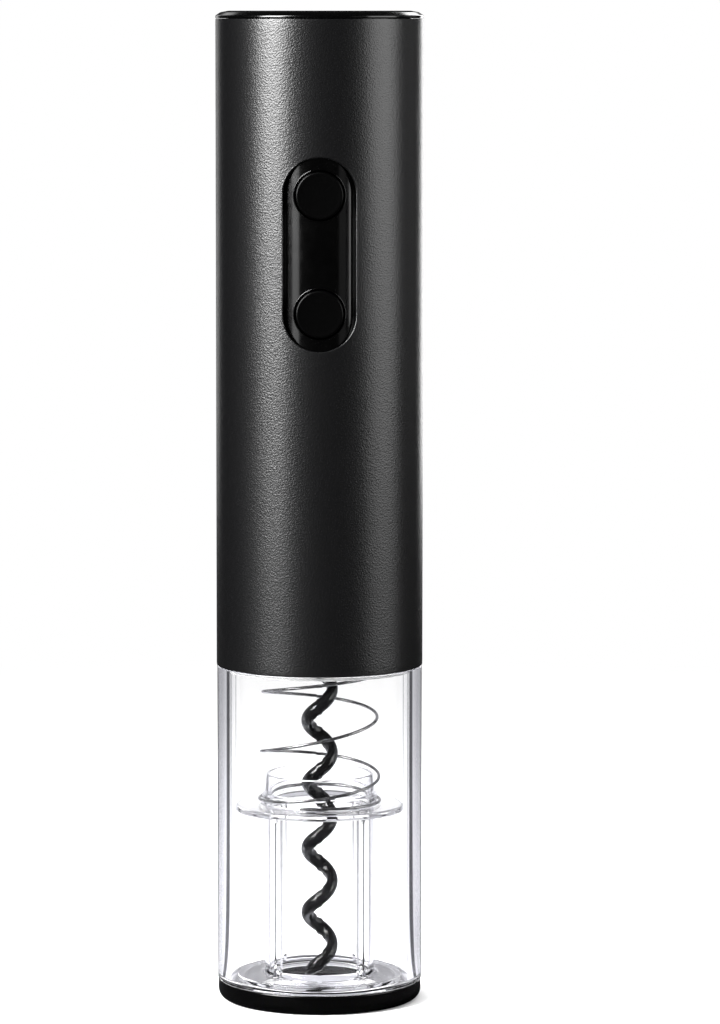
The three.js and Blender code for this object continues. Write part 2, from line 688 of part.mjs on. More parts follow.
function mainBoard() {
  const board = block([-BOARD_HALF_WIDTH, BOARD_HALF_WIDTH], [BOARD_FRONT, BOARD_BACK],
    [BOARD_LOW, BOARD_TOP]);
  return cut(board, ...BOARD_SCREW_HEIGHTS.map((z) => rodAlongY(0, z, SCREW_HOLE,
    BOARD_FRONT - 1, BOARD_BACK + 1, 12)));
}

// Tactile switch that the button behind the panel presses
function tactSwitch(height) {
  const front = BOARD_FRONT - SWITCH_DEPTH;
  const body = block([-SWITCH_HALF, SWITCH_HALF], [front, BOARD_FRONT - 0.1],
    [height - SWITCH_HALF, height + SWITCH_HALF]);
  return joined(body, rodAlongY(0, height, 1.7, front - 0.8, front + 0.5));
}

function chargeBoard() {
  return block([-9, 9], [4, 18.5], [CHARGE_BOARD_LOW, CHARGE_BOARD_LOW + 1.2]);
}

// Oval metal shell with a tongue standing in its open mouth
function usbSocket() {
  const [halfWidth, halfThick] = [SOCKET_WIDTH / 2, SOCKET_THICK / 2];
  const shell = pill(halfWidth, halfThick, 0, SOCKET_HEIGHT, SOCKET_BACK, SOCKET_MOUTH, 6);
  const hollow = pill(halfWidth - SOCKET_WALL, halfThick - SOCKET_WALL, 0, SOCKET_HEIGHT,
    SOCKET_BACK + 0.8, SOCKET_MOUTH + 1, 6);
  const tongue = block([-3.3, 3.3], [SOCKET_BACK + 0.4, SOCKET_MOUTH - 0.8],
    [SOCKET_HEIGHT - 0.35, SOCKET_HEIGHT + 0.35]);
  return joined(cut(shell, hollow), tongue);
}

function chargeLight() {
  return rodAlongY(LED_X, SOCKET_HEIGHT, LED_RADIUS, SOCKET_BACK + 0.8, SOCKET_MOUTH - 0.3);
}

function insulatedWire(points) {
  const curve = new THREE.CatmullRomCurve3(points.map((point) => new THREE.Vector3(...point)));
  return sweep(curve, WIRE_RADIUS, 8, 5);
}

// A pan-head screw along +Z, its head's underside at height 0 and its shank below
function screw(length) {
  return turned([
    [0, -length], [SCREW_RADIUS, -length], [SCREW_RADIUS, 0],
    [SCREW_HEAD, 0], [SCREW_HEAD - 0.4, 0.9], [0, 0.9],
  ], 8);
}

// ---- Assembly ----

const wineOpener = new THREE.Group();
wineOpener.name = 'electric_wine_opener';

const finishes = {
  shellBlack: { color: 0x2a2a2c, roughness: 0.5, metalness: 0.3 },
  glossBlack: { color: 0x0b0b0c, roughness: 0.08, metalness: 0 },
  satinBlack: { color: 0x1b1b1d, roughness: 0.4, metalness: 0.1 },
  wormBlack: { color: 0x141416, roughness: 0.25, metalness: 0.3 },
  clear: { color: 0xeef2f6, roughness: 0.05, metalness: 0, transparent: true, opacity: 0.3 },
  greyPlastic: { color: 0xb9bbc0, roughness: 0.5, metalness: 0 },
  darkPlastic: { color: 0x303236, roughness: 0.6, metalness: 0 },
  nylon: { color: 0xe6e2d6, roughness: 0.5, metalness: 0 },
  steel: { color: 0xb8babd, roughness: 0.3, metalness: 1 },
  bronze: { color: 0xb08d57, roughness: 0.4, metalness: 1 },
  ferrite: { color: 0x3c3c40, roughness: 0.8, metalness: 0 },
  board: { color: 0x1f5a36, roughness: 0.5, metalness: 0 },
  batteryWrap: { color: 0x2f6fb0, roughness: 0.4, metalness: 0 },
  redWire: { color: 0xb3261e, roughness: 0.5, metalness: 0 },
  blackWire: { color: 0x1a1a1a, roughness: 0.5, metalness: 0 },
};

function add(name, solid, finish) {
  const material = new THREE.MeshStandardMaterial(finish);
  const mesh = new THREE.Mesh(geometryOf(solid), material);
  mesh.name = name;
  wineOpener.add(mesh);
  return mesh;
}

add('base_ring', baseRing(), finishes.satinBlack);
add('clear_tube', clearTube(), finishes.clear);
add('bulkhead', bulkhead(), finishes.greyPlastic);
add('outer_shell', outerShell(), finishes.shellBlack);
add('top_cap', topCap(), finishes.glossBlack);
add('button_panel', buttonPanel(), finishes.glossBlack);
add('button_up', button(BUTTON_HEIGHTS.up), finishes.satinBlack);
add('button_down', button(BUTTON_HEIGHTS.down), finishes.satinBlack);

add('cork_guide', corkGuide(), finishes.clear);
add('guide_spring', guideSpring(), finishes.steel);
add('corkscrew', corkscrew(), finishes.wormBlack);
add('worm_holder', wormHolder(), finishes.darkPlastic);

add('output_carrier', outputCarrier(), finishes.steel);
add('output_bush', outputBush(), finishes.bronze);
add('gearbox_cover', gearboxCover(), finishes.darkPlastic);
add('ring_gear', ringGear(), finishes.nylon);
add('first_carrier', firstCarrier(), finishes.steel);
add('gearbox_plate', gearboxPlate(), finishes.steel);
for (let i = 0; i < PLANETS; i += 1) {
  const angle = 2 * Math.PI * i / PLANETS;
  add(`second_planet_${i + 1}`, planetGear(...SECOND_PLANETS), finishes.nylon).rotation.z = angle;
  add(`first_planet_${i + 1}`, planetGear(...FIRST_PLANETS), finishes.nylon).rotation.z = angle;
  const gearboxScrew = add(`gearbox_screw_${i + 1}`, screw(GEARBOX_SCREW_LENGTH), finishes.steel);
  const spot = angle + Math.PI / 3;
  gearboxScrew.rotation.x = Math.PI;
  gearboxScrew.position.set(GEARBOX_SCREW_CIRCLE * Math.cos(spot), GEARBOX_SCREW_CIRCLE * Math.sin(spot),
    COVER_LOW - 0.1);
}

add('motor_can', motorCan(), finishes.steel);
add('motor_magnet_left', motorMagnet(Math.PI), finishes.ferrite);
add('motor_magnet_right', motorMagnet(0), finishes.ferrite);
add('motor_rotor', motorRotor(), finishes.steel);
add('motor_pinion', motorPinion(), finishes.bronze);
add('motor_end_cap', motorEndCap(), finishes.darkPlastic);
[-MOTOR_SCREW_X, MOTOR_SCREW_X].forEach((x, i) => {
  const motorScrew = add(`motor_screw_${i + 1}`, screw(MOTOR_SCREW_LENGTH), finishes.steel);
  motorScrew.rotation.x = Math.PI;
  motorScrew.position.set(x, 0, PLATE_LOW + 0.95);
});

const chassis = wholeChassis();
add('chassis_front', chassisFront(chassis), finishes.darkPlastic);
add('chassis_back', chassisBack(chassis), finishes.darkPlastic);
BOSS_HEIGHTS.forEach((z, level) => {
  [-BOSS_X, BOSS_X].forEach((x, side) => {
    const name = `chassis_screw_${2 * level + side + 1}`;
    const chassisScrew = add(name, screw(CHASSIS_SCREW_LENGTH), finishes.steel);
    chassisScrew.rotation.x = -Math.PI / 2;
    chassisScrew.position.set(x, BOSS_HALF + 0.1, z);
  });
});

add('battery_cell', batteryCell(), finishes.batteryWrap);
add('battery_tab_bottom', batteryTab(BATTERY_LOW - 0.7), finishes.steel);
add('battery_tab_top', batteryTab(BATTERY_LOW + BATTERY_LENGTH + 0.3), finishes.steel);
add('main_board', mainBoard(), finishes.board);
add('switch_up', tactSwitch(BUTTON_HEIGHTS.up), finishes.darkPlastic);
add('switch_down', tactSwitch(BUTTON_HEIGHTS.down), finishes.darkPlastic);
BOARD_SCREW_HEIGHTS.forEach((z, i) => {
  const boardScrew = add(`board_screw_${i + 1}`, screw(BOARD_SCREW_LENGTH), finishes.steel);
  boardScrew.rotation.x = -Math.PI / 2;
  boardScrew.position.set(0, BOARD_BACK + 0.1, z);
});
add('charge_board', chargeBoard(), finishes.board);
add('usb_socket', usbSocket(), finishes.steel);
add('charge_light', chargeLight(), finishes.clear);

const motorLead = (x) => [[x, -4, 148.4], [x, -4, 153.5], [x, -6.5, 156.5], [x, -9.8, 157.4]];
add('motor_wire_red', insulatedWire(motorLead(8)), finishes.redWire);
add('motor_wire_black', insulatedWire(motorLead(-8)), finishes.blackWire);
add('battery_wire_black', insulatedWire([[4, -3.1, 153.1], [4, -6, 153.4], [4, -8.8, 155.4],
  [4, -9.8, 158.5]]), finishes.blackWire);
add('battery_wire_red', insulatedWire([[4, -3.1, 219.1], [4, -6, 218.8], [4, -9, 216.6],
  [4, -9.8, 212.5]]), finishes.redWire);
add('charge_wire', insulatedWire([[-6, 3.3, 223.2], [-6, -2.5, 223.6], [-6, -6.5, 221.2],
  [-6, -7.2, 216], [-6, -9.8, 210.5]]), finishes.redWire);

export default wineOpener;
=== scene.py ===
import json
import math

import bmesh
import bpy
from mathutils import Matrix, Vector


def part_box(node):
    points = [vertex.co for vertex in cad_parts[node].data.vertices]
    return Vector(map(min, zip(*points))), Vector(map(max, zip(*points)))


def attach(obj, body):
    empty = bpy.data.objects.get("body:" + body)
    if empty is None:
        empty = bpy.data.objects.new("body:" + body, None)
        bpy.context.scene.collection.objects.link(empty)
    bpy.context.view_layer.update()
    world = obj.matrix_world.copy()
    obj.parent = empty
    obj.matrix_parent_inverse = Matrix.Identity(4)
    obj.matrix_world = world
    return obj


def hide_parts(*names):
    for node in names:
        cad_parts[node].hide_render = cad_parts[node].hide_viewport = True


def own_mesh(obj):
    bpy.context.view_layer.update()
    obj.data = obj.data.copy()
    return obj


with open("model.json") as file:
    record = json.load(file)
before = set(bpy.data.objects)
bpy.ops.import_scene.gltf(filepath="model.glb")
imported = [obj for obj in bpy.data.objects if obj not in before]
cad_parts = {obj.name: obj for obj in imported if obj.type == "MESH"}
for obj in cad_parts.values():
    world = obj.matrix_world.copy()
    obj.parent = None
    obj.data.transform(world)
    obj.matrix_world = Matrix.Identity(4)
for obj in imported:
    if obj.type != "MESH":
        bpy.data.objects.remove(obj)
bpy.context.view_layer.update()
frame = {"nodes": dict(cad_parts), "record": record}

# Lengths are in millimetres, and MM turns them into Blender's metres. Materials and the stage are in metres.
MM = 0.001
ROUND = 160                      # sides of a full circle on the outer pieces
MOST_FILLET = 0.48               # share of an edge that a fillet at one end may take up


def low(node, axis=2):
    """A node's lowest X, Y or Z."""
    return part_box(node)[0][axis] / MM


def high(node, axis=2):
    """A node's highest X, Y or Z."""
    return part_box(node)[1][axis] / MM


def mid_height(node):
    return (low(node) + high(node)) / 2


# ---- Driving dimensions, read from the frame, and the wall thicknesses and radii between them ----

HEIGHT = high("top_cap")
BODY_RADIUS = high("outer_shell", 0)
SHELL_LOW, SHELL_TOP = low("outer_shell"), high("outer_shell")
SHELL_WALL = 2.2
SHELL_BORE = BODY_RADIUS - SHELL_WALL

CAP_LOW = HEIGHT - 1.8
CAP_PLUG_RADIUS, CAP_PLUG_BORE = 22.4, 20.9  # the ring under the cap that fits into the shell
CAP_PLUG_DEPTH = 5

TUBE_RADIUS = high("clear_tube", 0)
TUBE_TOP = SHELL_LOW - 0.1
TUBE_BORE = 22
PLUG_LOW, SPIGOT_TOP = low("clear_tube"), high("clear_tube")
PLUG_RADIUS = 22.9               # the tube's lower end, in the base ring
SPIGOT_RADIUS = 22.6             # the tube's upper end, in the shell
SPIGOT_BORE = 21
NECK_BORE = 18.3                 # hole in the tube's floor
RIB_WIDTH = 1.2                  # the tube's four inner ribs
RIB_INNER = 20.6
RIB_LOW, RIB_TOP = 8, 80

BASE_RADIUS, BASE_TOP = high("base_ring", 0), high("base_ring")
BASE_LIP = 19.6                  # inner edge of the base ring's foot
SEAT_RADIUS, SEAT_HEIGHT = PLUG_RADIUS + 0.2, 1.6

BULKHEAD_TOP = high("bulkhead")
BULKHEAD_LOW = BULKHEAD_TOP - 2.5
BULKHEAD_RADIUS, BULKHEAD_BORE = 21.8, 6.5
SEAT_RING_INNER, SEAT_RING_OUTER = 12, 12.9  # the ring under the bulkhead that centres the spring
SEAT_RING_DEPTH = 1.2
NOTCH_INNER = RIB_INNER - 0.3

FOOT_LOW, COLLAR_TOP = low("cork_guide"), high("cork_guide")
FOOT_RADIUS, FOOT_THICK = 20, 1.4
FLANGE_TOP = FOOT_LOW + 43.1
FLANGE_LOW = FLANGE_TOP - 1.6
FLANGE_RADIUS = 20.3
COLLAR_STEP = FLANGE_TOP + 2.3
GUIDE_OUTER, GUIDE_BORE = 13.2, 12.2
GUIDE_RIB_RADIUS = 14.4
GUIDE_RIB_HALF_WIDTH = 0.7
GUIDE_RIB_FLARE = 1.6            # how far a rib spreads outwards at its ends
GUIDE_RIB_FLARE_HEIGHT = 2.6

SOCKET_HEIGHT = mid_height("usb_socket")
SOCKET_WIDTH = high("usb_socket", 0) - low("usb_socket", 0)
SOCKET_THICK = high("usb_socket") - low("usb_socket")
SOCKET_BACK, SOCKET_MOUTH = low("usb_socket", 1), high("usb_socket", 1)
SOCKET_WALL = 0.35
TONGUE_HALF_WIDTH, TONGUE_HALF_THICK = 3.3, 0.35
CONTACTS_PER_SIDE = 6
LED_X = (low("charge_light", 0) + high("charge_light", 0)) / 2
LED_BACK, LED_FRONT = low("charge_light", 1), high("charge_light", 1)
LED_RADIUS = (high("charge_light", 0) - low("charge_light", 0)) / 2

PANEL_HALF_WIDTH = 8.6
PANEL_LIP = 1.8                  # how far the panel reaches behind the shell, all round
PANEL_LOW, PANEL_TOP = low("button_panel") + PANEL_LIP, high("button_panel") - PANEL_LIP
PANEL_FRONT = low("button_panel", 1)
PANEL_BACK = high("button_panel", 1)
PANEL_CURVE = 15                 # radius of the panel's bulge
WINDOW_GAP = 0.3                 # between the panel or the socket and the shell's edge
BUTTONS = ("button_up", "button_down")
BUTTON_RADIUS = 5.65
BUTTON_FLANGE = 7                # holds the button behind its hole
BUTTON_HOLE = 6.15
BUTTON_FRONT = low("button_up", 1)
BUTTON_BACK = high("button_up", 1)

WORM_RADIUS = 3.1
WORM_WIRE = 1.38
WORM_FLATTENED = 1.2             # how much taller than wide the coil's section is
WORM_PITCH = 15.75
WORM_RIGHTMOST = 13.1            # a height where the coil is furthest to +X
WORM_TIP = low("corkscrew") + 0.4
WORM_STRAIGHTENS = (77.5, 83.3)  # heights between which the coil closes in to the axis
WORM_POINT = (-1.2, 4.5)         # the wire thickens between these heights above the tip
WORM_POINT_SHARE = 0.12          # of the wire's full radius, at the very tip
SHANK_TOP = high("corkscrew")
HOLDER_RADIUS, HOLDER_NECK = 6, 5.4
SHANK_BORE, STUB_BORE = 1.65, 3.25  # the holder's holes for the shank and for the gearbox's stub
STUB_LOW = 88.8
SPRING_WIRE = 0.38
SPRING_PITCH = 14.6
SPRING_HEIGHT = 54.1             # height of the even coil where it first crosses +X
SPRING_RADII = (14.65, 13.65)    # at its bottom and its top
SPRING_TURNS = (-1.3, 2.55)      # where the wire starts and ends, counted from SPRING_HEIGHT
SPRING_CLOSING = 2.8             # how gently the end turns close up
SPRING_LEAN = 0.8                # how far the middle of the coil leans up towards +X


# ---- Mesh building ----

def sharpen(mesh, degrees=38):
    """Smooth faces, with sharp edges where the surface turns by more than this angle."""
    shape = bmesh.new()
    shape.from_mesh(mesh)
    bmesh.ops.recalc_face_normals(shape, faces=shape.faces)
    for face in shape.faces:
        face.smooth = True
    for edge in shape.edges:
        edge.smooth = len(edge.link_faces) == 2 and edge.calc_face_angle(0) < math.radians(degrees)
    shape.to_mesh(mesh)
    shape.free()


def mesh_piece(name, corners, faces):
    """A mesh object from corners in millimetres."""
    mesh = bpy.data.meshes.new(name)
    mesh.from_pydata([Vector(corner) * MM for corner in corners], [], faces)
    mesh.validate()
    sharpen(mesh)
    piece = bpy.data.objects.new(name, mesh)
    bpy.context.scene.collection.objects.link(piece)
    return piece


def filleted(corners, steps=4):
    """A closed outline of (u, v) points from (u, v, fillet radius) corners."""
    outline = []
    for i, (u, v, size) in enumerate(corners):
        here = Vector((u, v))
        if size <= 0:
            outline.append((u, v))
            continue
        before = Vector(corners[i - 1][:2]) - here
        after = Vector(corners[(i + 1) % len(corners)][:2]) - here
        half = before.angle(after) / 2
        reach = min(size / math.tan(half), before.length * MOST_FILLET, after.length * MOST_FILLET)
        size = reach * math.tan(half)
        middle = (before.normalized() + after.normalized()).normalized() * (size / math.sin(half)) + here
        start = here + before.normalized() * reach - middle
        sweep_angle = start.angle_signed(here + after.normalized() * reach - middle)
        for step in range(steps + 1):
            turn = -sweep_angle * step / steps
            point = Vector((start.x * math.cos(turn) - start.y * math.sin(turn),
                            start.x * math.sin(turn) + start.y * math.cos(turn)))
            outline.append(tuple(middle + point))
    return outline


def revolved(name, corners, sides=ROUND, steps=4):
    """A closed body of revolution about Z from (radius, height, fillet) corners."""
    outline = filleted(corners, steps)
    rings, points = [], []
    for radius, height in outline:
        if radius < 1e-6:
            rings.append([len(points)])
            points.append((0, 0, height))
            continue
        rings.append(range(len(points), len(points) + sides))
        for i in range(sides):
            angle = 2 * math.pi * i / sides
            points.append((radius * math.cos(angle), radius * math.sin(angle), height))
    faces = []
    for a, b in zip(rings, rings[1:] + rings[:1]):
        for i in range(sides):
            j = (i + 1) % sides
            face = [a[i % len(a)], a[j % len(a)], b[j % len(b)], b[i % len(b)]]
            face = list(dict.fromkeys(face))
            if len(face) > 2:
                faces.append(face)
    return mesh_piece(name, points, faces)


def swept(name, path, radii, sides=16, closed=False, outward=None, stretch=1.0):
    """A bar along a path of points, with its own radius at each one. Its section is round, or stretched
    across the outward directions where those are given."""
    path = [Vector(point) for point in path]
    count = len(path)
    tangents = []
    for i in range(count):
        ahead = path[(i + 1) % count] if closed or i < count - 1 else path[i]
        behind = path[i - 1] if closed or i > 0 else path[i]
        tangents.append((ahead - behind).normalized())
    normal = tangents[0].orthogonal().normalized()
    normals = []
    for tangent in tangents:
        if outward:
            normal = outward[len(normals)]
        normal = (normal - tangent * normal.dot(tangent)).normalized()
        normals.append(normal)
    twist = 0
    if closed:
        last = normals[-1] - tangents[0] * normals[-1].dot(tangents[0])
        twist = math.atan2(last.cross(normals[0]).dot(tangents[0]), last.dot(normals[0]))
    points, faces = [], []
    for i, centre in enumerate(path):
        side = tangents[i].cross(normals[i])
        for k in range(sides):
            angle = 2 * math.pi * k / sides + twist * i / count
            across = normals[i] * math.cos(angle) + side * (math.sin(angle) * stretch)
            points.append(centre + across * radii[i])
    spans = count if closed else count - 1
    for i in range(spans):
        a, b = i * sides, (i + 1) % count * sides
        for k in range(sides):
            m = (k + 1) % sides
            faces.append([a + k, a + m, b + m, b + k])
    if not closed:
        faces.append(list(range(sides)))
        faces.append(list(range((count - 1) * sides, count * sides)))
    return mesh_piece(name, points, faces)


def pill(half_width, bottom, top, across=0, steps=24):
    """Outline of an upright or lying slot with round ends, as (x, z) points."""
    half_height = (top - bottom) / 2
    middle = (top + bottom) / 2
    radius = min(half_width, half_height)
    outline = []
    for quarter in range(4):
        side = 1 if quarter in (0, 3) else -1
        level = 1 if quarter < 2 else -1
        centre = (across + side * (half_width - radius), middle + level * (half_height - radius))
        for i in range(steps + 1):
            angle = math.pi / 2 * (quarter + i / steps)
            outline.append((centre[0] + radius * math.cos(angle), centre[1] + radius * math.sin(angle)))
    return [p for i, p in enumerate(outline) if math.dist(p, outline[i - 1]) > 1e-4]


def prism(name, outline, near, far):
    """An outline of (x, z) points extruded along Y."""
    count = len(outline)
    points = [(x, near, z) for x, z in outline] + [(x, far, z) for x, z in outline]
    faces = [list(range(count)), list(range(count, 2 * count))]
    faces += [[i, (i + 1) % count, count + (i + 1) % count, count + i] for i in range(count)]
    return mesh_piece(name, points, faces)


def apply_modifiers(piece):
    """The piece's mesh becomes what its modifiers make of it."""
    graph = bpy.context.evaluated_depsgraph_get()
    mesh = bpy.data.meshes.new_from_object(piece.evaluated_get(graph))
    piece.modifiers.clear()
    piece.data = mesh


def combine(piece, tool, operation):
    """Cuts, joins or keeps the overlap of a piece and a tool, which is used up."""
    modifier = piece.modifiers.new("combine", "BOOLEAN")
    modifier.operation = operation
    modifier.solver = "EXACT"
    modifier.object = tool
    apply_modifiers(piece)
    bpy.data.objects.remove(tool)
    sharpen(piece.data)


def finished(piece, body, material):
    """Flat faces are shaded flat, and the piece rides on a body and takes a material."""
    flat = piece.modifiers.new("flat faces", "WEIGHTED_NORMAL")
    flat.keep_sharp = True
    flat.weight = 100
    apply_modifiers(piece)
    piece.data.materials.clear()
    piece.data.materials.append(material)
    if material == MATERIALS["clear_acrylic"]:
        piece.visible_shadow = False
    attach(piece, body)


# ---- Materials ----

TEXTURE_RANGE = (0.3, 0.7)       # most of what a noise texture gives lies in here


def node_material(name):
    material = bpy.data.materials.new(name)
    material.use_nodes = True
    nodes, links = material.node_tree.nodes, material.node_tree.links
    return material, nodes, links, nodes["Principled BSDF"]


def add_texture(nodes, links, kind, scale, **settings):
    """A procedural texture in the object's own coordinates, with features 1/scale metres apart."""
    place = nodes.new("ShaderNodeTexCoord")
    texture = nodes.new(kind)
    texture.inputs["Scale"].default_value = scale
    for key, value in settings.items():
        texture.inputs[key].default_value = value
    links.new(place.outputs["Object"], texture.inputs["Vector"])
    return texture


def map_range(nodes, links, source, lowest, highest):
    """A value that follows a texture from lowest to highest."""
    spread = nodes.new("ShaderNodeMapRange")
    spread.inputs["From Min"].default_value = TEXTURE_RANGE[0]
    spread.inputs["From Max"].default_value = TEXTURE_RANGE[1]
    spread.inputs["To Min"].default_value = lowest
    spread.inputs["To Max"].default_value = highest
    links.new(source, spread.inputs["Value"])
    return spread.outputs["Result"]


def math_node(nodes, links, operation, *values):
    """The result of a sum on one or two values, each a number or another node's output."""
    node = nodes.new("ShaderNodeMath")
    node.operation = operation
    for socket, value in zip(node.inputs, values):
        if isinstance(value, (int, float)):
            socket.default_value = value
        else:
            links.new(value, socket)
    return node.outputs["Value"]


def mix_colours(nodes, links, share, first, second):
    """First where share is 0, second where it is 1, each a colour or another node's output."""
    mix = nodes.new("ShaderNodeMix")
    mix.data_type = "RGBA"
    links.new(share, mix.inputs["Factor"])
    for socket, colour in ((mix.inputs["A"], first), (mix.inputs["B"], second)):
        if isinstance(colour, tuple):
            socket.default_value = (*colour, 1)
        else:
            links.new(colour, socket)
    return mix.outputs["Result"]


def vary_colour(nodes, links, shader, source, dark, light):
    """The shader's colour follows a texture from dark to light."""
    ramp = nodes.new("ShaderNodeValToRGB")
    for element, position, colour in zip(ramp.color_ramp.elements, TEXTURE_RANGE, (dark, light)):
        element.position = position
        element.color = (*colour, 1)
    links.new(source, ramp.inputs["Fac"])
    links.new(ramp.outputs["Color"], shader.inputs["Base Color"])


def add_bump(nodes, links, shader, source, depth, strength=1.0):
    bump = nodes.new("ShaderNodeBump")
    bump.inputs["Strength"].default_value = strength
    bump.inputs["Distance"].default_value = depth
    links.new(source, bump.inputs["Height"])
    links.new(bump.outputs["Normal"], shader.inputs["Normal"])


def surface(name, dark, light, rough, grain, depth, metallic=0, specular=0.5):
    """A moulded, coated or brushed surface: colour, roughness and relief all follow one grain."""
    material, nodes, links, shader = node_material(name)
    noise = add_texture(nodes, links, "ShaderNodeTexNoise", grain, Detail=4, Roughness=0.6)
    vary_colour(nodes, links, shader, noise.outputs["Fac"], dark, light)
    links.new(map_range(nodes, links, noise.outputs["Fac"], *rough), shader.inputs["Roughness"])
    add_bump(nodes, links, shader, noise.outputs["Fac"], depth)
    shader.inputs["Metallic"].default_value = metallic
    shader.inputs["Specular IOR Level"].default_value = specular
    return material


def grey(value, blue=0.0):
    return (value, value, value + blue)


SHELL_GRAIN = 2600               # cells per metre
SHELL_WARP = 4000                # finer noise that breaks up the cells
SHELL_RELIEF = 0.00008


def shell_material():
    """Black finish with a fine pebbled grain about 0.4 mm across."""
    material, nodes, links, shader = node_material("shell_black")
    warp = add_texture(nodes, links, "ShaderNodeTexNoise", SHELL_WARP, Detail=3)
    cells = add_texture(nodes, links, "ShaderNodeTexVoronoi", SHELL_GRAIN, Randomness=1)
    cells.feature = "SMOOTH_F1"
    cells.inputs["Smoothness"].default_value = 0.5
    height = math_node(nodes, links, "ADD", cells.outputs["Distance"],
                       math_node(nodes, links, "MULTIPLY", warp.outputs["Fac"], 0.5))
    add_bump(nodes, links, shader, height, SHELL_RELIEF, 0.42)
    vary_colour(nodes, links, shader, cells.outputs["Distance"], grey(0.0015, 0.0002), grey(0.0009, 0.0002))
    links.new(map_range(nodes, links, warp.outputs["Fac"], 0.28, 0.32), shader.inputs["Roughness"])
    shader.inputs["Specular IOR Level"].default_value = 0.6
    return material


def mix_shaders(nodes, links, share, first, second):
    """First where share is 0, second where it is 1."""
    mix = nodes.new("ShaderNodeMixShader")
    links.new(share, mix.inputs["Fac"])
    links.new(first, mix.inputs[1])
    links.new(second, mix.inputs[2])
    return mix.outputs["Shader"]


def eased(nodes, links, source, start, end):
    """0 up to start, 1 from end on, and a smooth rise between them."""
    rise = nodes.new("ShaderNodeMapRange")
    rise.interpolation_type = "SMOOTHSTEP"
    rise.inputs["From Min"].default_value = start
    rise.inputs["From Max"].default_value = end
    links.new(source, rise.inputs["Value"])
    return rise.outputs["Result"]


ACRYLIC_IOR = 1.49
OUTER_MIRROR = (-0.1, 0.2)       # Fresnel shares over which mirroring sets in, on the way into the acrylic
INNER_MIRROR = (0.05, 0.2)       # the same, inside it
MIRROR_WEIGHT = 3                # bounces that one mirroring counts as
MOST_BOUNCES = 8.5               # light that has bounced more often than this goes straight on


def clear_material():
    """Polished clear acrylic. It only mirrors where light meets it at a shallow angle, so that what it
    encloses stays clear to see, and light that has already bounced many times inside goes straight on."""
    material, nodes, links, shader = node_material("clear_acrylic")
    shader.inputs["Transmission Weight"].default_value = 1
    shader.inputs["IOR"].default_value = ACRYLIC_IOR
    swirl = add_texture(nodes, links, "ShaderNodeTexNoise", 60, Detail=2)
    vary_colour(nodes, links, shader, swirl.outputs["Fac"], (0.980, 0.980, 0.988), (0.995, 0.995, 0.998))
    links.new(map_range(nodes, links, swirl.outputs["Fac"], 0.0, 0.02), shader.inputs["Roughness"])
    bend = nodes.new("ShaderNodeBsdfRefraction")
    bend.inputs["IOR"].default_value = ACRYLIC_IOR
    bend.inputs["Roughness"].default_value = 0
    mirror = nodes.new("ShaderNodeBsdfGlossy")
    mirror.inputs["Roughness"].default_value = 0
    fresnel = nodes.new("ShaderNodeFresnel")
    fresnel.inputs["IOR"].default_value = ACRYLIC_IOR
    ahead = nodes.new("ShaderNodeBsdfTransparent")
    ray = nodes.new("ShaderNodeLightPath")
    side = nodes.new("ShaderNodeNewGeometry")
    outer_share = eased(nodes, links, fresnel.outputs["Fac"], *OUTER_MIRROR)
    outer = mix_shaders(nodes, links, outer_share, bend.outputs["BSDF"], shader.outputs["BSDF"])
    inner_share = math_node(nodes, links, "MULTIPLY", fresnel.outputs["Fac"],
                            eased(nodes, links, fresnel.outputs["Fac"], *INNER_MIRROR))
    inner = mix_shaders(nodes, links, inner_share, bend.outputs["BSDF"], mirror.outputs["BSDF"])
    glass = mix_shaders(nodes, links, side.outputs["Backfacing"], outer, inner)
    bounces = math_node(nodes, links, "MAXIMUM", ray.outputs["Ray Depth"],
                        math_node(nodes, links, "MULTIPLY", ray.outputs["Glossy Depth"], MIRROR_WEIGHT))
    deep = math_node(nodes, links, "GREATER_THAN", bounces, MOST_BOUNCES)
    mixed = mix_shaders(nodes, links, deep, glass, ahead.outputs["BSDF"])
    links.new(mixed, nodes["Material Output"].inputs["Surface"])
    return material


# Slot: colours in the grain's lows and highs, roughness from and to, grains per metre, relief in metres, and
# then metallic and specular, where they aren't 0 and 0.5
SURFACES = {
    "gloss_black": (grey(0.0001), grey(0.0003), (0.11, 0.15), 400, 3e-6),
    "satin_black": (grey(0.0001), grey(0.0003), (0.28, 0.33), 4000, 4e-6, 0, 0.12),
    "soft_black": (grey(0.0001), grey(0.0003), (0.15, 0.17), 900, 5e-7),
    "worm_black": (grey(0.001), grey(0.002), (0.11, 0.14), 900, 5e-7, 0, 0.4),
    "light_grey_plastic": (grey(0.50), grey(0.58), (0.4, 0.5), 1500, 2e-5),
    "dark_plastic": (grey(0.03), grey(0.045), (0.45, 0.6), 1500, 3e-5),
    "nylon": ((0.74, 0.71, 0.62), (0.82, 0.80, 0.73), (0.4, 0.5), 900, 2e-5),
    "steel": (grey(0.50), grey(0.62), (0.22, 0.36), 700, 8e-6, 1),
    "spring_steel": (grey(0.16), grey(0.26), (0.16, 0.28), 900, 6e-6, 1),
    "bronze": ((0.50, 0.33, 0.15), (0.62, 0.43, 0.22), (0.3, 0.42), 800, 1e-5, 1),
    "ferrite": (grey(0.05), grey(0.08), (0.6, 0.8), 2000, 4e-5),
    "board_green": ((0.02, 0.14, 0.05), (0.04, 0.20, 0.08), (0.3, 0.42), 600, 1e-5),
    "battery_wrap": ((0.03, 0.12, 0.34), (0.05, 0.16, 0.42), (0.22, 0.34), 300, 1e-5),
    "red_insulation": ((0.42, 0.02, 0.02), (0.55, 0.04, 0.03), (0.4, 0.55), 900, 1e-5),
    "black_insulation": (grey(0.012), grey(0.02), (0.4, 0.55), 900, 1e-5),
}
MATERIALS = {"shell_black": shell_material(), "clear_acrylic": clear_material()}
MATERIALS.update({slot: surface(slot, *settings) for slot, settings in SURFACES.items()})


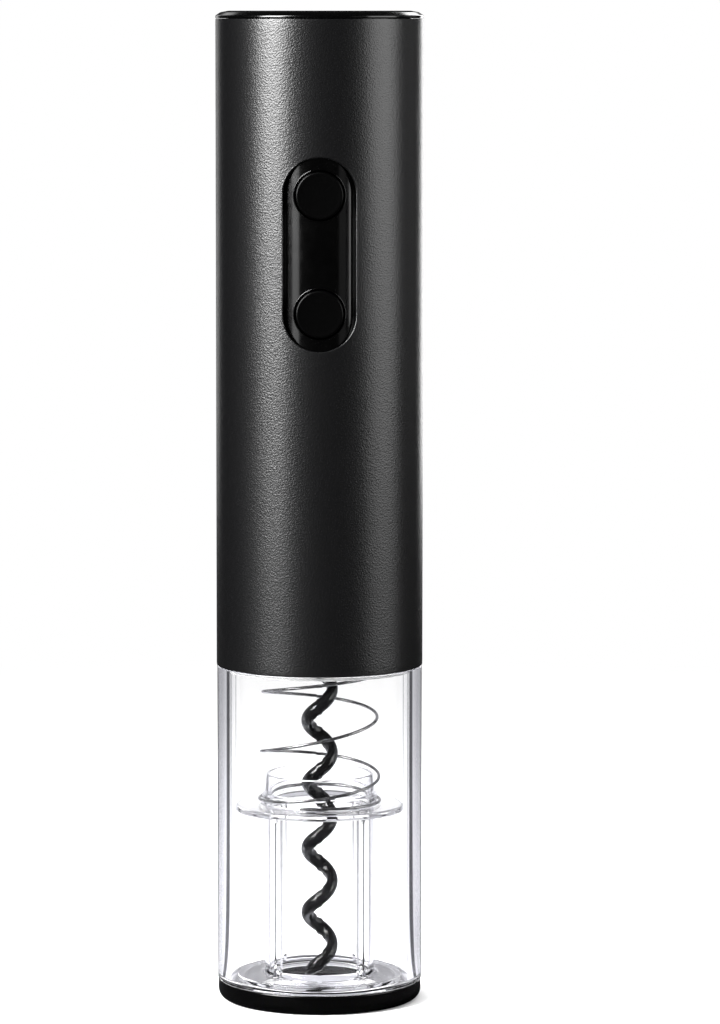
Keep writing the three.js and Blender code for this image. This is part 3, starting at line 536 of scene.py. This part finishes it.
# ---- Camera, lights and stage, in metres ----

CAMERA_LENS = 167.7              # millimetres, on a sensor 36 wide
CAMERA_DISTANCE = 1.150
CAMERA_TILT = 6.0                # degrees down from level
CAMERA_SHIFT = 0.0395            # stands the opener left of the picture's middle

# How bright the surroundings are: seen directly, in glossy surfaces, mirrored inside the clear parts from
# behind the opener or from in front of it, on the dark cards at the studio's corners and sides, bent to the
# sides by a clear part, and seen directly on the floor near the opener. The floor takes the same values as
# its colour, so on the floor the darker ones are painted shade and painted reflections.
SEEN = (1, 1, 1)
REFLECTED = (0.02, 0.02, 0.021)
MIRRORED = (0.80, 0.80, 0.85)
MIRRORED_FRONT = grey(0.10, 0.01)
MIRRORED_CARDS = grey(0.10, 0.01)
BENT_ASIDE = (0.25, 0.25, 0.27)
FLOOR_SEEN = (0.93, 0.93, 0.93)

# Where the cards' edges are. A corner's measure is 0.25 at 45 degrees, and a side's is 1 at +X and -X.
CORNER_CARD = (0.234, 0.247)
SIDE_CARD = (0.97, 0.99)
# On the floor, BENT_ASIDE and ASIDE_FADE are painted shade: the floor is darker where it is seen through the
# tube's sides.
ASIDE_FADE = (0.1, 0.6)          # where bent light goes from bright to dim, in a side's measure
TUBE_SIDE = 17 * MM              # how far from the axis light leaves the tube's side

FLOOR_RADIUS = 6
FLOOR_FADE = (0.12, 0.6)         # how far out the floor turns from matt to glowing

# Name: azimuth in degrees, distance and height, width and height of the light, watts, height it is aimed at
LIGHTS = {
    "key_light": (-54, 1.1, 0.72, 0.60, 1.05, 64, 0.18),
    "fill_light": (74, 1.2, 0.24, 0.8, 1.1, 10, 0.12),
    "side_light": (122, 1.2, 0.50, 0.5, 1.0, 0.4, 0.14),
    "left_strip_light": (-44, 1.1, 0.13, 0.25, 0.6, 1.0, 0.13),
    "right_strip_light": (42, 1.1, 0.13, 0.25, 0.6, 0.1, 0.13),
    "left_rim_light": (-158, 1.2, 0.40, 0.3, 1.0, 1.0, 0.14),
    "right_rim_light": (160, 1.2, 0.40, 0.3, 1.0, 4.5, 0.14),
}


def camera():
    """The opener stands left of the picture's middle, seen from level with its top."""
    lens = bpy.data.cameras.new("camera")
    lens.lens = CAMERA_LENS
    lens.sensor_width = 36
    lens.shift_x = CAMERA_SHIFT
    lens.clip_end = 20
    view = bpy.data.objects.new("camera", lens)
    bpy.context.scene.collection.objects.link(view)
    view.location = (0, -CAMERA_DISTANCE, HEIGHT * MM)
    view.rotation_euler = (math.radians(90 - CAMERA_TILT), 0, 0)
    bpy.context.scene.camera = view


def softbox(name, azimuth, distance, height, width, tall, power, aim):
    """An area light. Azimuth 0 is in front of the button panel, and positive is to the right of it. The
    lights behind the opener don't show through its clear parts."""
    light = bpy.data.lights.new(name, "AREA")
    light.shape = "RECTANGLE"
    light.size = width
    light.size_y = tall
    light.energy = power
    lamp = bpy.data.objects.new(name, light)
    bpy.context.scene.collection.objects.link(lamp)
    angle = math.radians(azimuth)
    lamp.location = (distance * math.sin(angle), -distance * math.cos(angle), height)
    direction = Vector((0, 0, aim)) - lamp.location
    lamp.rotation_euler = direction.to_track_quat("-Z", "Y").to_euler()
    lamp.visible_camera = False
    lamp.visible_transmission = abs(azimuth) < 90


def bearing(nodes, links, on_floor):
    """Y, then the squares of x and y and their sum, for the direction of the sky or a place on the floor.
    Places on the floor are counted from the side of the tube, where the light that finds them leaves it, so
    that the painted shade on the floor lines up with the tube's sides."""
    place = nodes.new("ShaderNodeTexCoord")
    split = nodes.new("ShaderNodeSeparateXYZ")
    links.new(place.outputs["Object" if on_floor else "Generated"], split.inputs["Vector"])
    x = math_node(nodes, links, "ABSOLUTE", split.outputs["X"])
    if on_floor:
        x = math_node(nodes, links, "SUBTRACT", x, TUBE_SIDE)
    y = split.outputs["Y"]
    squares = [math_node(nodes, links, "MULTIPLY", part, part) for part in (x, y)]
    return y, *squares, math_node(nodes, links, "ADD", *squares)


def surroundings(nodes, links, seen=SEEN, on_floor=False):
    """What a ray finds outside the opener: bright if it came directly, darker at the sides if the clear parts
    bent it there, dark if a surface reflected it, and if a clear part mirrored it, pale behind the opener and
    dark in front of it and on the cards. The floor takes this as its colour too, so on the floor these darker
    values are painted shade and painted reflections."""
    ray = nodes.new("ShaderNodeLightPath")
    reflected = math_node(nodes, links, "GREATER_THAN", ray.outputs["Glossy Depth"], 0.5)
    inside = math_node(nodes, links, "GREATER_THAN", ray.outputs["Transmission Depth"], 0.5)
    y, across, along, total = bearing(nodes, links, on_floor)
    product = math_node(nodes, links, "MULTIPLY", across, along)
    corner = math_node(nodes, links, "DIVIDE", product, math_node(nodes, links, "MULTIPLY", total, total))
    aside = math_node(nodes, links, "DIVIDE", across, total)
    card = math_node(nodes, links, "MAXIMUM", eased(nodes, links, corner, *CORNER_CARD),
                     eased(nodes, links, aside, *SIDE_CARD))
    behind = math_node(nodes, links, "GREATER_THAN", y, 0)
    around = mix_colours(nodes, links, behind, MIRRORED_FRONT, MIRRORED)
    mirrored = mix_colours(nodes, links, card, around, MIRRORED_CARDS)
    bent_aside = math_node(nodes, links, "MULTIPLY", eased(nodes, links, aside, *ASIDE_FADE), inside)
    bent = mix_colours(nodes, links, bent_aside, seen, BENT_ASIDE)
    indirect = mix_colours(nodes, links, inside, REFLECTED, mirrored)
    return mix_colours(nodes, links, reflected, bent, indirect)


def studio():
    """Surroundings that are white where they are seen directly and dark in reflections, and the softboxes."""
    world = bpy.data.worlds.new("studio")
    world.use_nodes = True
    bpy.context.scene.world = world
    nodes, links = world.node_tree.nodes, world.node_tree.links
    links.new(surroundings(nodes, links), nodes["Background"].inputs["Color"])
    for name, settings in LIGHTS.items():
        softbox(name, *settings)


def floor():
    """Pale floor that takes soft shadows near the opener and runs into the white surroundings far out. Its
    colour and glow carry painted shade and painted reflections: dark where a glossy surface reflects the
    floor, darker at the sides where it is seen through the clear parts, and the mirrored colours and dark
    cards inside them.
    """
    shape = bmesh.new()
    bmesh.ops.create_circle(shape, cap_ends=True, segments=96, radius=FLOOR_RADIUS)
    mesh = bpy.data.meshes.new("floor")
    shape.to_mesh(mesh)
    shape.free()
    piece = bpy.data.objects.new("floor", mesh)
    bpy.context.scene.collection.objects.link(piece)
    material, nodes, links, shader = node_material("floor_white")
    # Painted shade and painted reflections: the floor's colour is dark in reflections and darker where it is
    # seen through the tube's sides.
    links.new(surroundings(nodes, links, FLOOR_SEEN, on_floor=True), shader.inputs["Base Color"])
    shader.inputs["Roughness"].default_value = 0.9
    shader.inputs["Specular IOR Level"].default_value = 0.0
    place = nodes.new("ShaderNodeTexCoord")
    distance = nodes.new("ShaderNodeVectorMath")
    distance.operation = "LENGTH"
    links.new(place.outputs["Object"], distance.inputs[0])
    fade = eased(nodes, links, distance.outputs["Value"], *FLOOR_FADE)
    glow = nodes.new("ShaderNodeEmission")
    # The glow far out carries the same painted shade and painted reflections.
    links.new(surroundings(nodes, links, on_floor=True), glow.inputs["Color"])
    blend = mix_shaders(nodes, links, fade, shader.outputs["BSDF"], glow.outputs["Emission"])
    links.new(blend, nodes["Material Output"].inputs["Surface"])
    mesh.materials.append(material)


# ---- Outer pieces ----

THROUGH_FRONT, THROUGH_BACK = (-30, -10), (10, 30)  # Y of tools that cut one side of the shell


def panel_surface(x):
    """Y of the panel's bulging front at this x."""
    return PANEL_FRONT + PANEL_CURVE - math.sqrt(PANEL_CURVE ** 2 - x ** 2)


def around_panel(gap):
    """The panel's outline, grown or shrunk by a gap."""
    return pill(PANEL_HALF_WIDTH + gap, PANEL_LOW - gap, PANEL_TOP + gap)


def around_socket(gap, steps):
    """The socket's outline, grown or shrunk by a gap."""
    half_thick = SOCKET_THICK / 2 + gap
    return pill(SOCKET_WIDTH / 2 + gap, SOCKET_HEIGHT - half_thick, SOCKET_HEIGHT + half_thick, steps=steps)


def around_button(node):
    """The outline of a button's hole."""
    middle = mid_height(node)
    return pill(BUTTON_HOLE, middle - BUTTON_HOLE, middle + BUTTON_HOLE)


def shell():
    """Tube open at both ends, with openings for the panel in front and the socket and its light behind."""
    rings, edge = 78, 0.6
    span = (SHELL_TOP - SHELL_LOW - 2 * edge) / rings
    wall = [(SHELL_BORE, SHELL_LOW + 0.3, 0), (SHELL_BORE + 0.3, SHELL_LOW, 0)]
    wall += [(BODY_RADIUS - 0.15, SHELL_LOW, 0), (BODY_RADIUS - 0.04, SHELL_LOW + 0.06, 0)]
    wall += [(BODY_RADIUS, SHELL_LOW + edge + span * i, 0) for i in range(rings + 1)]
    wall += [(BODY_RADIUS - 0.04, SHELL_TOP - 0.06, 0), (BODY_RADIUS - 0.15, SHELL_TOP, 0)]
    wall += [(SHELL_BORE + 0.3, SHELL_TOP, 0), (SHELL_BORE, SHELL_TOP - 0.3, 0)]
    wall += [(SHELL_BORE, SHELL_TOP - edge - span * i, 0) for i in range(rings + 1)]
    piece = revolved("shell", wall, 192)
    combine(piece, prism("window", around_panel(WINDOW_GAP), *THROUGH_FRONT), "DIFFERENCE")
    combine(piece, prism("slot", around_socket(WINDOW_GAP, 8), *THROUGH_BACK), "DIFFERENCE")
    led_hole = LED_RADIUS + 0.25
    hole = pill(led_hole, SOCKET_HEIGHT - led_hole, SOCKET_HEIGHT + led_hole, LED_X, steps=6)
    combine(piece, prism("hole", hole, *THROUGH_BACK), "DIFFERENCE")
    finished(piece, "housing", MATERIALS["shell_black"])
    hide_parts("outer_shell")


def rim(name, outline, radius, depth_at, material):
    """A rounded lip that follows an outline of (x, z) points over a surface whose Y is depth_at(x)."""
    path = [(x, depth_at(x), z) for x, z in outline]
    piece = swept(name, path, [radius] * len(path), 10, closed=True)
    finished(piece, "housing", material)


def resampled(outline, gap):
    """The same closed outline with points about this far apart."""
    points = []
    for i, end in enumerate(outline):
        start = outline[i - 1]
        count = max(1, round(math.dist(start, end) / gap))
        points += [(start[0] + (end[0] - start[0]) * k / count, start[1] + (end[1] - start[1]) * k / count)
                   for k in range(count)]
    return points


def shell_front(x):
    return -math.sqrt(BODY_RADIUS ** 2 - x ** 2)


def shell_back(x):
    return math.sqrt(BODY_RADIUS ** 2 - x ** 2)


def shell_rims():
    """Rounded edges to the shell's openings for the panel and the socket."""
    black = MATERIALS["shell_black"]
    lip = 0.3
    window = resampled(around_panel(WINDOW_GAP), 0.8)
    rim("window_edge", window, lip, lambda x: shell_front(x) + lip, black)
    slot = resampled(around_socket(WINDOW_GAP, 8), 0.5)
    rim("socket_edge", slot, 0.15, lambda x: shell_back(x) - 0.14, black)


def cap():
    """Lid with a softly rounded edge and a ring that plugs into the shell."""
    under, plug_low = CAP_LOW - 0.02, CAP_LOW - CAP_PLUG_DEPTH
    piece = revolved("cap", [
        (0, CAP_LOW - 1, 0), (CAP_PLUG_BORE, CAP_LOW - 1, 0), (CAP_PLUG_BORE, plug_low, 0),
        (CAP_PLUG_RADIUS, plug_low, 0), (CAP_PLUG_RADIUS, under, 0), (BODY_RADIUS - 0.12, under, 0.1),
        (BODY_RADIUS, CAP_LOW + 0.25, 0.2), (BODY_RADIUS, HEIGHT - 1.15, 0.7),
        (BODY_RADIUS - 1.2, HEIGHT - 0.35, 0.8), (BODY_RADIUS - 3.2, HEIGHT, 1.5), (0, HEIGHT, 0),
    ], steps=6)
    finished(piece, "housing", MATERIALS["soft_black"])
    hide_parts("top_cap")


def panel():
    """Glossy pill with a bulging front: a curved slab trimmed to the pill, with a hole for each button."""
    strips, rows = 64, 40
    reach = PANEL_HALF_WIDTH + 1
    front = [(-reach + 2 * reach * i / strips) for i in range(strips + 1)]
    corners, faces = [], []
    levels = [PANEL_LOW - 1 + (PANEL_TOP - PANEL_LOW + 2) * i / rows for i in range(rows + 1)]
    for z in levels:
        corners += [(x, panel_surface(x), z) for x in front] + [(x, PANEL_BACK, z) for x in reversed(front)]
    ring_size = 2 * len(front)
    for level in range(len(levels) - 1):
        for i in range(ring_size):
            j = (i + 1) % ring_size
            a, b = level * ring_size, (level + 1) * ring_size
            faces.append([a + i, a + j, b + j, b + i])
    faces += [list(range(ring_size)), list(range((len(levels) - 1) * ring_size, len(levels) * ring_size))]
    piece = mesh_piece("panel", corners, faces)
    combine(piece, prism("trim", around_panel(0), *THROUGH_FRONT), "INTERSECT")
    lip = prism("lip", around_panel(PANEL_LIP), PANEL_BACK - 1.4, PANEL_BACK - 0.01)
    combine(piece, lip, "UNION")
    for node in BUTTONS:
        combine(piece, prism("hole", around_button(node), *THROUGH_FRONT), "DIFFERENCE")
    finished(piece, "housing", MATERIALS["gloss_black"])
    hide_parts("button_panel")
    for node in BUTTONS:
        rim(node + "_surround", around_button(node), 0.16, panel_surface,
            MATERIALS["gloss_black"])


def button(node):
    """Flat round key with a rounded rim and a very shallow dish, turned to face forwards."""
    back, middle = BUTTON_FRONT - BUTTON_BACK, mid_height(node)
    piece = revolved(node + "_key", [
        (0, back, 0), (BUTTON_FLANGE, back, 0.1), (BUTTON_FLANGE, back + 1, 0.1),
        (BUTTON_RADIUS, back + 1, 0), (BUTTON_RADIUS, 0, 0.45), (BUTTON_RADIUS - 1.1, -0.10, 0.8),
        (0, -0.22, 0),
    ], 96, steps=6)
    for vertex in piece.data.vertices:
        x, y, up = vertex.co
        vertex.co = (x, BUTTON_FRONT * MM - up, middle * MM + y)
    sharpen(piece.data)
    finished(piece, node, MATERIALS["satin_black"])
    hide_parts(node)


def base():
    """Ring with a large round under its outer edge and a seat for the tube."""
    piece = revolved("base", [
        (BASE_LIP, 0, 0.4), (BASE_RADIUS, 0, 3.4), (BASE_RADIUS, BASE_TOP, 0.25),
        (SEAT_RADIUS, BASE_TOP, 0.1), (SEAT_RADIUS, SEAT_HEIGHT, 0), (BASE_LIP, SEAT_HEIGHT, 0.2),
    ], steps=8)
    finished(piece, "housing", MATERIALS["soft_black"])
    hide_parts("base_ring")


def box_at(angle, inner, outer, half_width, bottom, top):
    """A radial block, turned about Z."""
    corners = []
    for radius in (inner, outer):
        for side in (-half_width, half_width):
            for z in (bottom, top):
                corners.append((radius * math.cos(angle) - side * math.sin(angle),
                                radius * math.sin(angle) + side * math.cos(angle), z))
    faces = [[0, 1, 3, 2], [4, 5, 7, 6], [0, 1, 5, 4], [2, 3, 7, 6], [0, 2, 6, 4], [1, 3, 7, 5]]
    return mesh_piece("block", corners, faces)


def tube():
    """Clear tube with a plug at the bottom, a spigot at the top, a floor and four inner ribs."""
    outer_low, spigot_low = BASE_TOP + 0.1, BULKHEAD_TOP + 0.3
    piece = revolved("tube", [
        (NECK_BORE, PLUG_LOW, 0.3), (PLUG_RADIUS, PLUG_LOW, 0.1), (PLUG_RADIUS, outer_low, 0),
        (TUBE_RADIUS, outer_low, 0.25), (TUBE_RADIUS, TUBE_TOP, 0.2), (SPIGOT_RADIUS, TUBE_TOP, 0),
        (SPIGOT_RADIUS, SPIGOT_TOP, 0.2), (SPIGOT_BORE, SPIGOT_TOP, 0.2), (SPIGOT_BORE, spigot_low, 0),
        (TUBE_BORE, spigot_low, 0), (TUBE_BORE, BASE_TOP, 1.2), (NECK_BORE, BASE_TOP, 0.4),
    ], steps=6)
    for i in range(4):
        rib = box_at(math.pi / 2 * i, RIB_INNER, TUBE_BORE + 0.4, RIB_WIDTH / 2, RIB_LOW, RIB_TOP)
        combine(piece, rib, "UNION")
    finished(piece, "housing", MATERIALS["clear_acrylic"])
    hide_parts("clear_tube")


def bulkhead():
    """Disc across the tube, with a ring that centres the spring and a notch for each rib."""
    ring_low = BULKHEAD_LOW - SEAT_RING_DEPTH
    piece = revolved("spring_seat", [
        (BULKHEAD_BORE, BULKHEAD_LOW, 0.2), (SEAT_RING_INNER, BULKHEAD_LOW, 0),
        (SEAT_RING_INNER, ring_low, 0.2), (SEAT_RING_OUTER, ring_low, 0.2),
        (SEAT_RING_OUTER, BULKHEAD_LOW, 0.2), (BULKHEAD_RADIUS, BULKHEAD_LOW, 0.3),
        (BULKHEAD_RADIUS, BULKHEAD_TOP, 0.2), (BULKHEAD_BORE, BULKHEAD_TOP, 0.2),
    ])
    for i in range(4):
        notch = box_at(math.pi / 2 * i, NOTCH_INNER, BODY_RADIUS, RIB_WIDTH / 2 + 0.3,
                       BULKHEAD_LOW - 2, BULKHEAD_TOP + 1)
        combine(piece, notch, "DIFFERENCE")
    finished(piece, "housing", MATERIALS["light_grey_plastic"])
    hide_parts("bulkhead")


# ---- Cork guide, spring and corkscrew ----

def guide_rib(angle):
    """Upright rib with a rounded front that spreads into the foot and the flange, turned about Z."""
    low_end, high_end = FOOT_LOW + 0.7, FLANGE_TOP - 0.8
    root, spread = GUIDE_OUTER - 0.5, GUIDE_RIB_RADIUS + GUIDE_RIB_FLARE
    outline = filleted([
        (root, low_end, 0), (spread, low_end, 0),
        (GUIDE_RIB_RADIUS, low_end + GUIDE_RIB_FLARE_HEIGHT, 1.5),
        (GUIDE_RIB_RADIUS, high_end - GUIDE_RIB_FLARE_HEIGHT, 1.5),
        (spread, high_end, 0), (root, high_end, 0),
    ], 6)
    rib = prism("rib", outline, -GUIDE_RIB_HALF_WIDTH, GUIDE_RIB_HALF_WIDTH)
    cosine, sine = math.cos(angle), math.sin(angle)
    for vertex in rib.data.vertices:
        x, y, z = vertex.co
        vertex.co = (x * cosine - y * sine, x * sine + y * cosine, z)
    return rib


def guide():
    """Clear sleeve with a wide foot, a flange for the spring, a stepped collar and four outer ribs."""
    foot_top = FOOT_LOW + FOOT_THICK
    step = GUIDE_OUTER + 0.8
    piece = revolved("guide", [
        (GUIDE_BORE, FOOT_LOW, 0.5), (FOOT_RADIUS, FOOT_LOW, 0.3), (FOOT_RADIUS, foot_top, 0.4),
        (GUIDE_OUTER, foot_top, 1.5), (GUIDE_OUTER, FLANGE_LOW, 0.8), (FLANGE_RADIUS, FLANGE_LOW, 0.4),
        (FLANGE_RADIUS, FLANGE_TOP, 0.4), (step, FLANGE_TOP, 0.4), (step, COLLAR_STEP, 0.4),
        (GUIDE_OUTER + 0.2, COLLAR_STEP + 0.4, 0.4), (GUIDE_OUTER - 0.25, COLLAR_TOP, 0.45),
        (GUIDE_BORE, COLLAR_TOP, 0.35),
    ], steps=6)
    for i in range(4):
        combine(piece, guide_rib(math.pi / 4 + math.pi / 2 * i), "UNION")
    finished(piece, "cork_guide", MATERIALS["clear_acrylic"])
    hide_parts("cork_guide")


def spring():
    """Compression spring whose turns close up at both ends."""
    bottom, top = FLANGE_TOP + 0.45, BULKHEAD_LOW - 0.45
    first, last = SPRING_TURNS

    def closing(rise):
        """0 well below 0, rise well above it, and a smooth bend between them."""
        return (rise + math.hypot(rise, SPRING_CLOSING)) / 2

    steps = 260
    path = []
    for i in range(steps + 1):
        turns = first + (last - first) * i / steps
        angle = 2 * math.pi * turns
        climb = SPRING_HEIGHT + SPRING_PITCH * turns
        z = bottom + closing(climb - bottom) - closing(climb - top)
        share = (z - bottom) / (top - bottom)
        radius = SPRING_RADII[0] + (SPRING_RADII[1] - SPRING_RADII[0]) * share
        z += SPRING_LEAN * math.sin(math.pi * share) * math.cos(angle)
        path.append((radius * math.cos(angle), radius * math.sin(angle), z))
    piece = swept("spring", path, [SPRING_WIRE] * len(path), 12)
    finished(piece, "housing", MATERIALS["spring_steel"])
    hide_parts("guide_spring")
    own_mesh(piece)


def smooth_step(value, start, end):
    """0 up to start, 1 from end on, and a smooth rise between them, as a number."""
    share = min(1, max(0, (value - start) / (end - start)))
    return share * share * (3 - 2 * share)


def worm():
    """Right-handed coil, ground to a point at its tip and straight where it enters the holder."""
    steps = 420
    path, radii, outward = [], [], []
    for i in range(steps + 1):
        z = WORM_TIP + (SHANK_TOP - WORM_TIP) * i / steps
        radius = WORM_RADIUS * (1 - smooth_step(z, *WORM_STRAIGHTENS))
        angle = 2 * math.pi * (z - WORM_RIGHTMOST) / WORM_PITCH
        path.append((radius * math.cos(angle), radius * math.sin(angle), z))
        radii.append(WORM_WIRE * max(WORM_POINT_SHARE, smooth_step(z - WORM_TIP, *WORM_POINT)))
        outward.append(Vector((math.cos(angle), math.sin(angle), 0)))
    piece = swept("worm", path, radii, 24, outward=outward, stretch=WORM_FLATTENED)
    finished(piece, "corkscrew", MATERIALS["worm_black"])
    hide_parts("corkscrew")


def holder():
    """Round block with a hole for the worm's shank below and one for the gearbox's stub above."""
    bottom, top = low("worm_holder"), high("worm_holder")
    shank_hole = SHANK_TOP + 0.2
    piece = revolved("holder", [
        (0, shank_hole, 0), (SHANK_BORE, shank_hole, 0), (SHANK_BORE, bottom, 0.1),
        (HOLDER_NECK, bottom, 0.5), (HOLDER_RADIUS, bottom + 1, 0.5), (HOLDER_RADIUS, top, 0.3),
        (STUB_BORE, top, 0.1), (STUB_BORE, STUB_LOW, 0), (0, STUB_LOW, 0),
    ], 64)
    finished(piece, "corkscrew", MATERIALS["dark_plastic"])
    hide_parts("worm_holder")


# ---- Socket and charge light ----

def socket():
    """Steel sleeve around a plastic tongue, which carries a row of contacts on each side."""
    piece = prism("socket", around_socket(0, 10), SOCKET_BACK, SOCKET_MOUTH)
    hollow = prism("hollow", around_socket(-SOCKET_WALL, 10), SOCKET_BACK + 0.8, SOCKET_MOUTH + 1)
    combine(piece, hollow, "DIFFERENCE")
    finished(piece, "housing", MATERIALS["steel"])
    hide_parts("usb_socket")
    bar = pill(TONGUE_HALF_WIDTH, SOCKET_HEIGHT - TONGUE_HALF_THICK, SOCKET_HEIGHT + TONGUE_HALF_THICK,
               steps=4)
    tongue = prism("socket_tongue", bar, SOCKET_BACK + 0.9, SOCKET_MOUTH - 0.8)
    finished(tongue, "housing", MATERIALS["dark_plastic"])
    for side, label in ((-1, "bottom"), (1, "top")):
        z = SOCKET_HEIGHT + side * (TONGUE_HALF_THICK + 0.02)
        for i in range(CONTACTS_PER_SIDE):
            x = i - (CONTACTS_PER_SIDE - 1) / 2
            strip = [(x - 0.18, z - 0.03), (x + 0.18, z - 0.03), (x + 0.18, z + 0.03), (x - 0.18, z + 0.03)]
            contact = prism(f"socket_contact_{i + 1}_{label}", strip, SOCKET_BACK + 1.2, SOCKET_MOUTH - 0.95)
            finished(contact, "housing", MATERIALS["bronze"])


def light_pipe():
    """Short clear rod with a domed end beside the socket, turned to face backwards."""
    length = LED_FRONT - LED_BACK
    piece = revolved("light_pipe", [
        (0, 0, 0), (LED_RADIUS, 0, 0.1), (LED_RADIUS, length - 0.1, 0.3), (LED_RADIUS * 0.5, length, 0.3),
        (0, length, 0),
    ], 32)
    for vertex in piece.data.vertices:
        x, y, up = vertex.co
        vertex.co = (x + LED_X * MM, LED_BACK * MM + up, SOCKET_HEIGHT * MM - y)
    sharpen(piece.data)
    finished(piece, "housing", MATERIALS["clear_acrylic"])
    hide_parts("charge_light")


# ---- Build ----

camera()
studio()
floor()

shell()
shell_rims()
cap()
panel()
for button_node in BUTTONS:
    button(button_node)
base()
tube()
bulkhead()
guide()
spring()
worm()
holder()
socket()
light_pipe()

# The CAD nodes that stay visible, such as the screws, take their materials from the same set.
for subpart in frame["record"]["subparts"]:
    node = frame["nodes"][subpart["node"]]
    node.data.materials.clear()
    node.data.materials.append(MATERIALS[subpart["material_slot"]])

bpy.context.scene.view_settings.view_transform = "Standard"
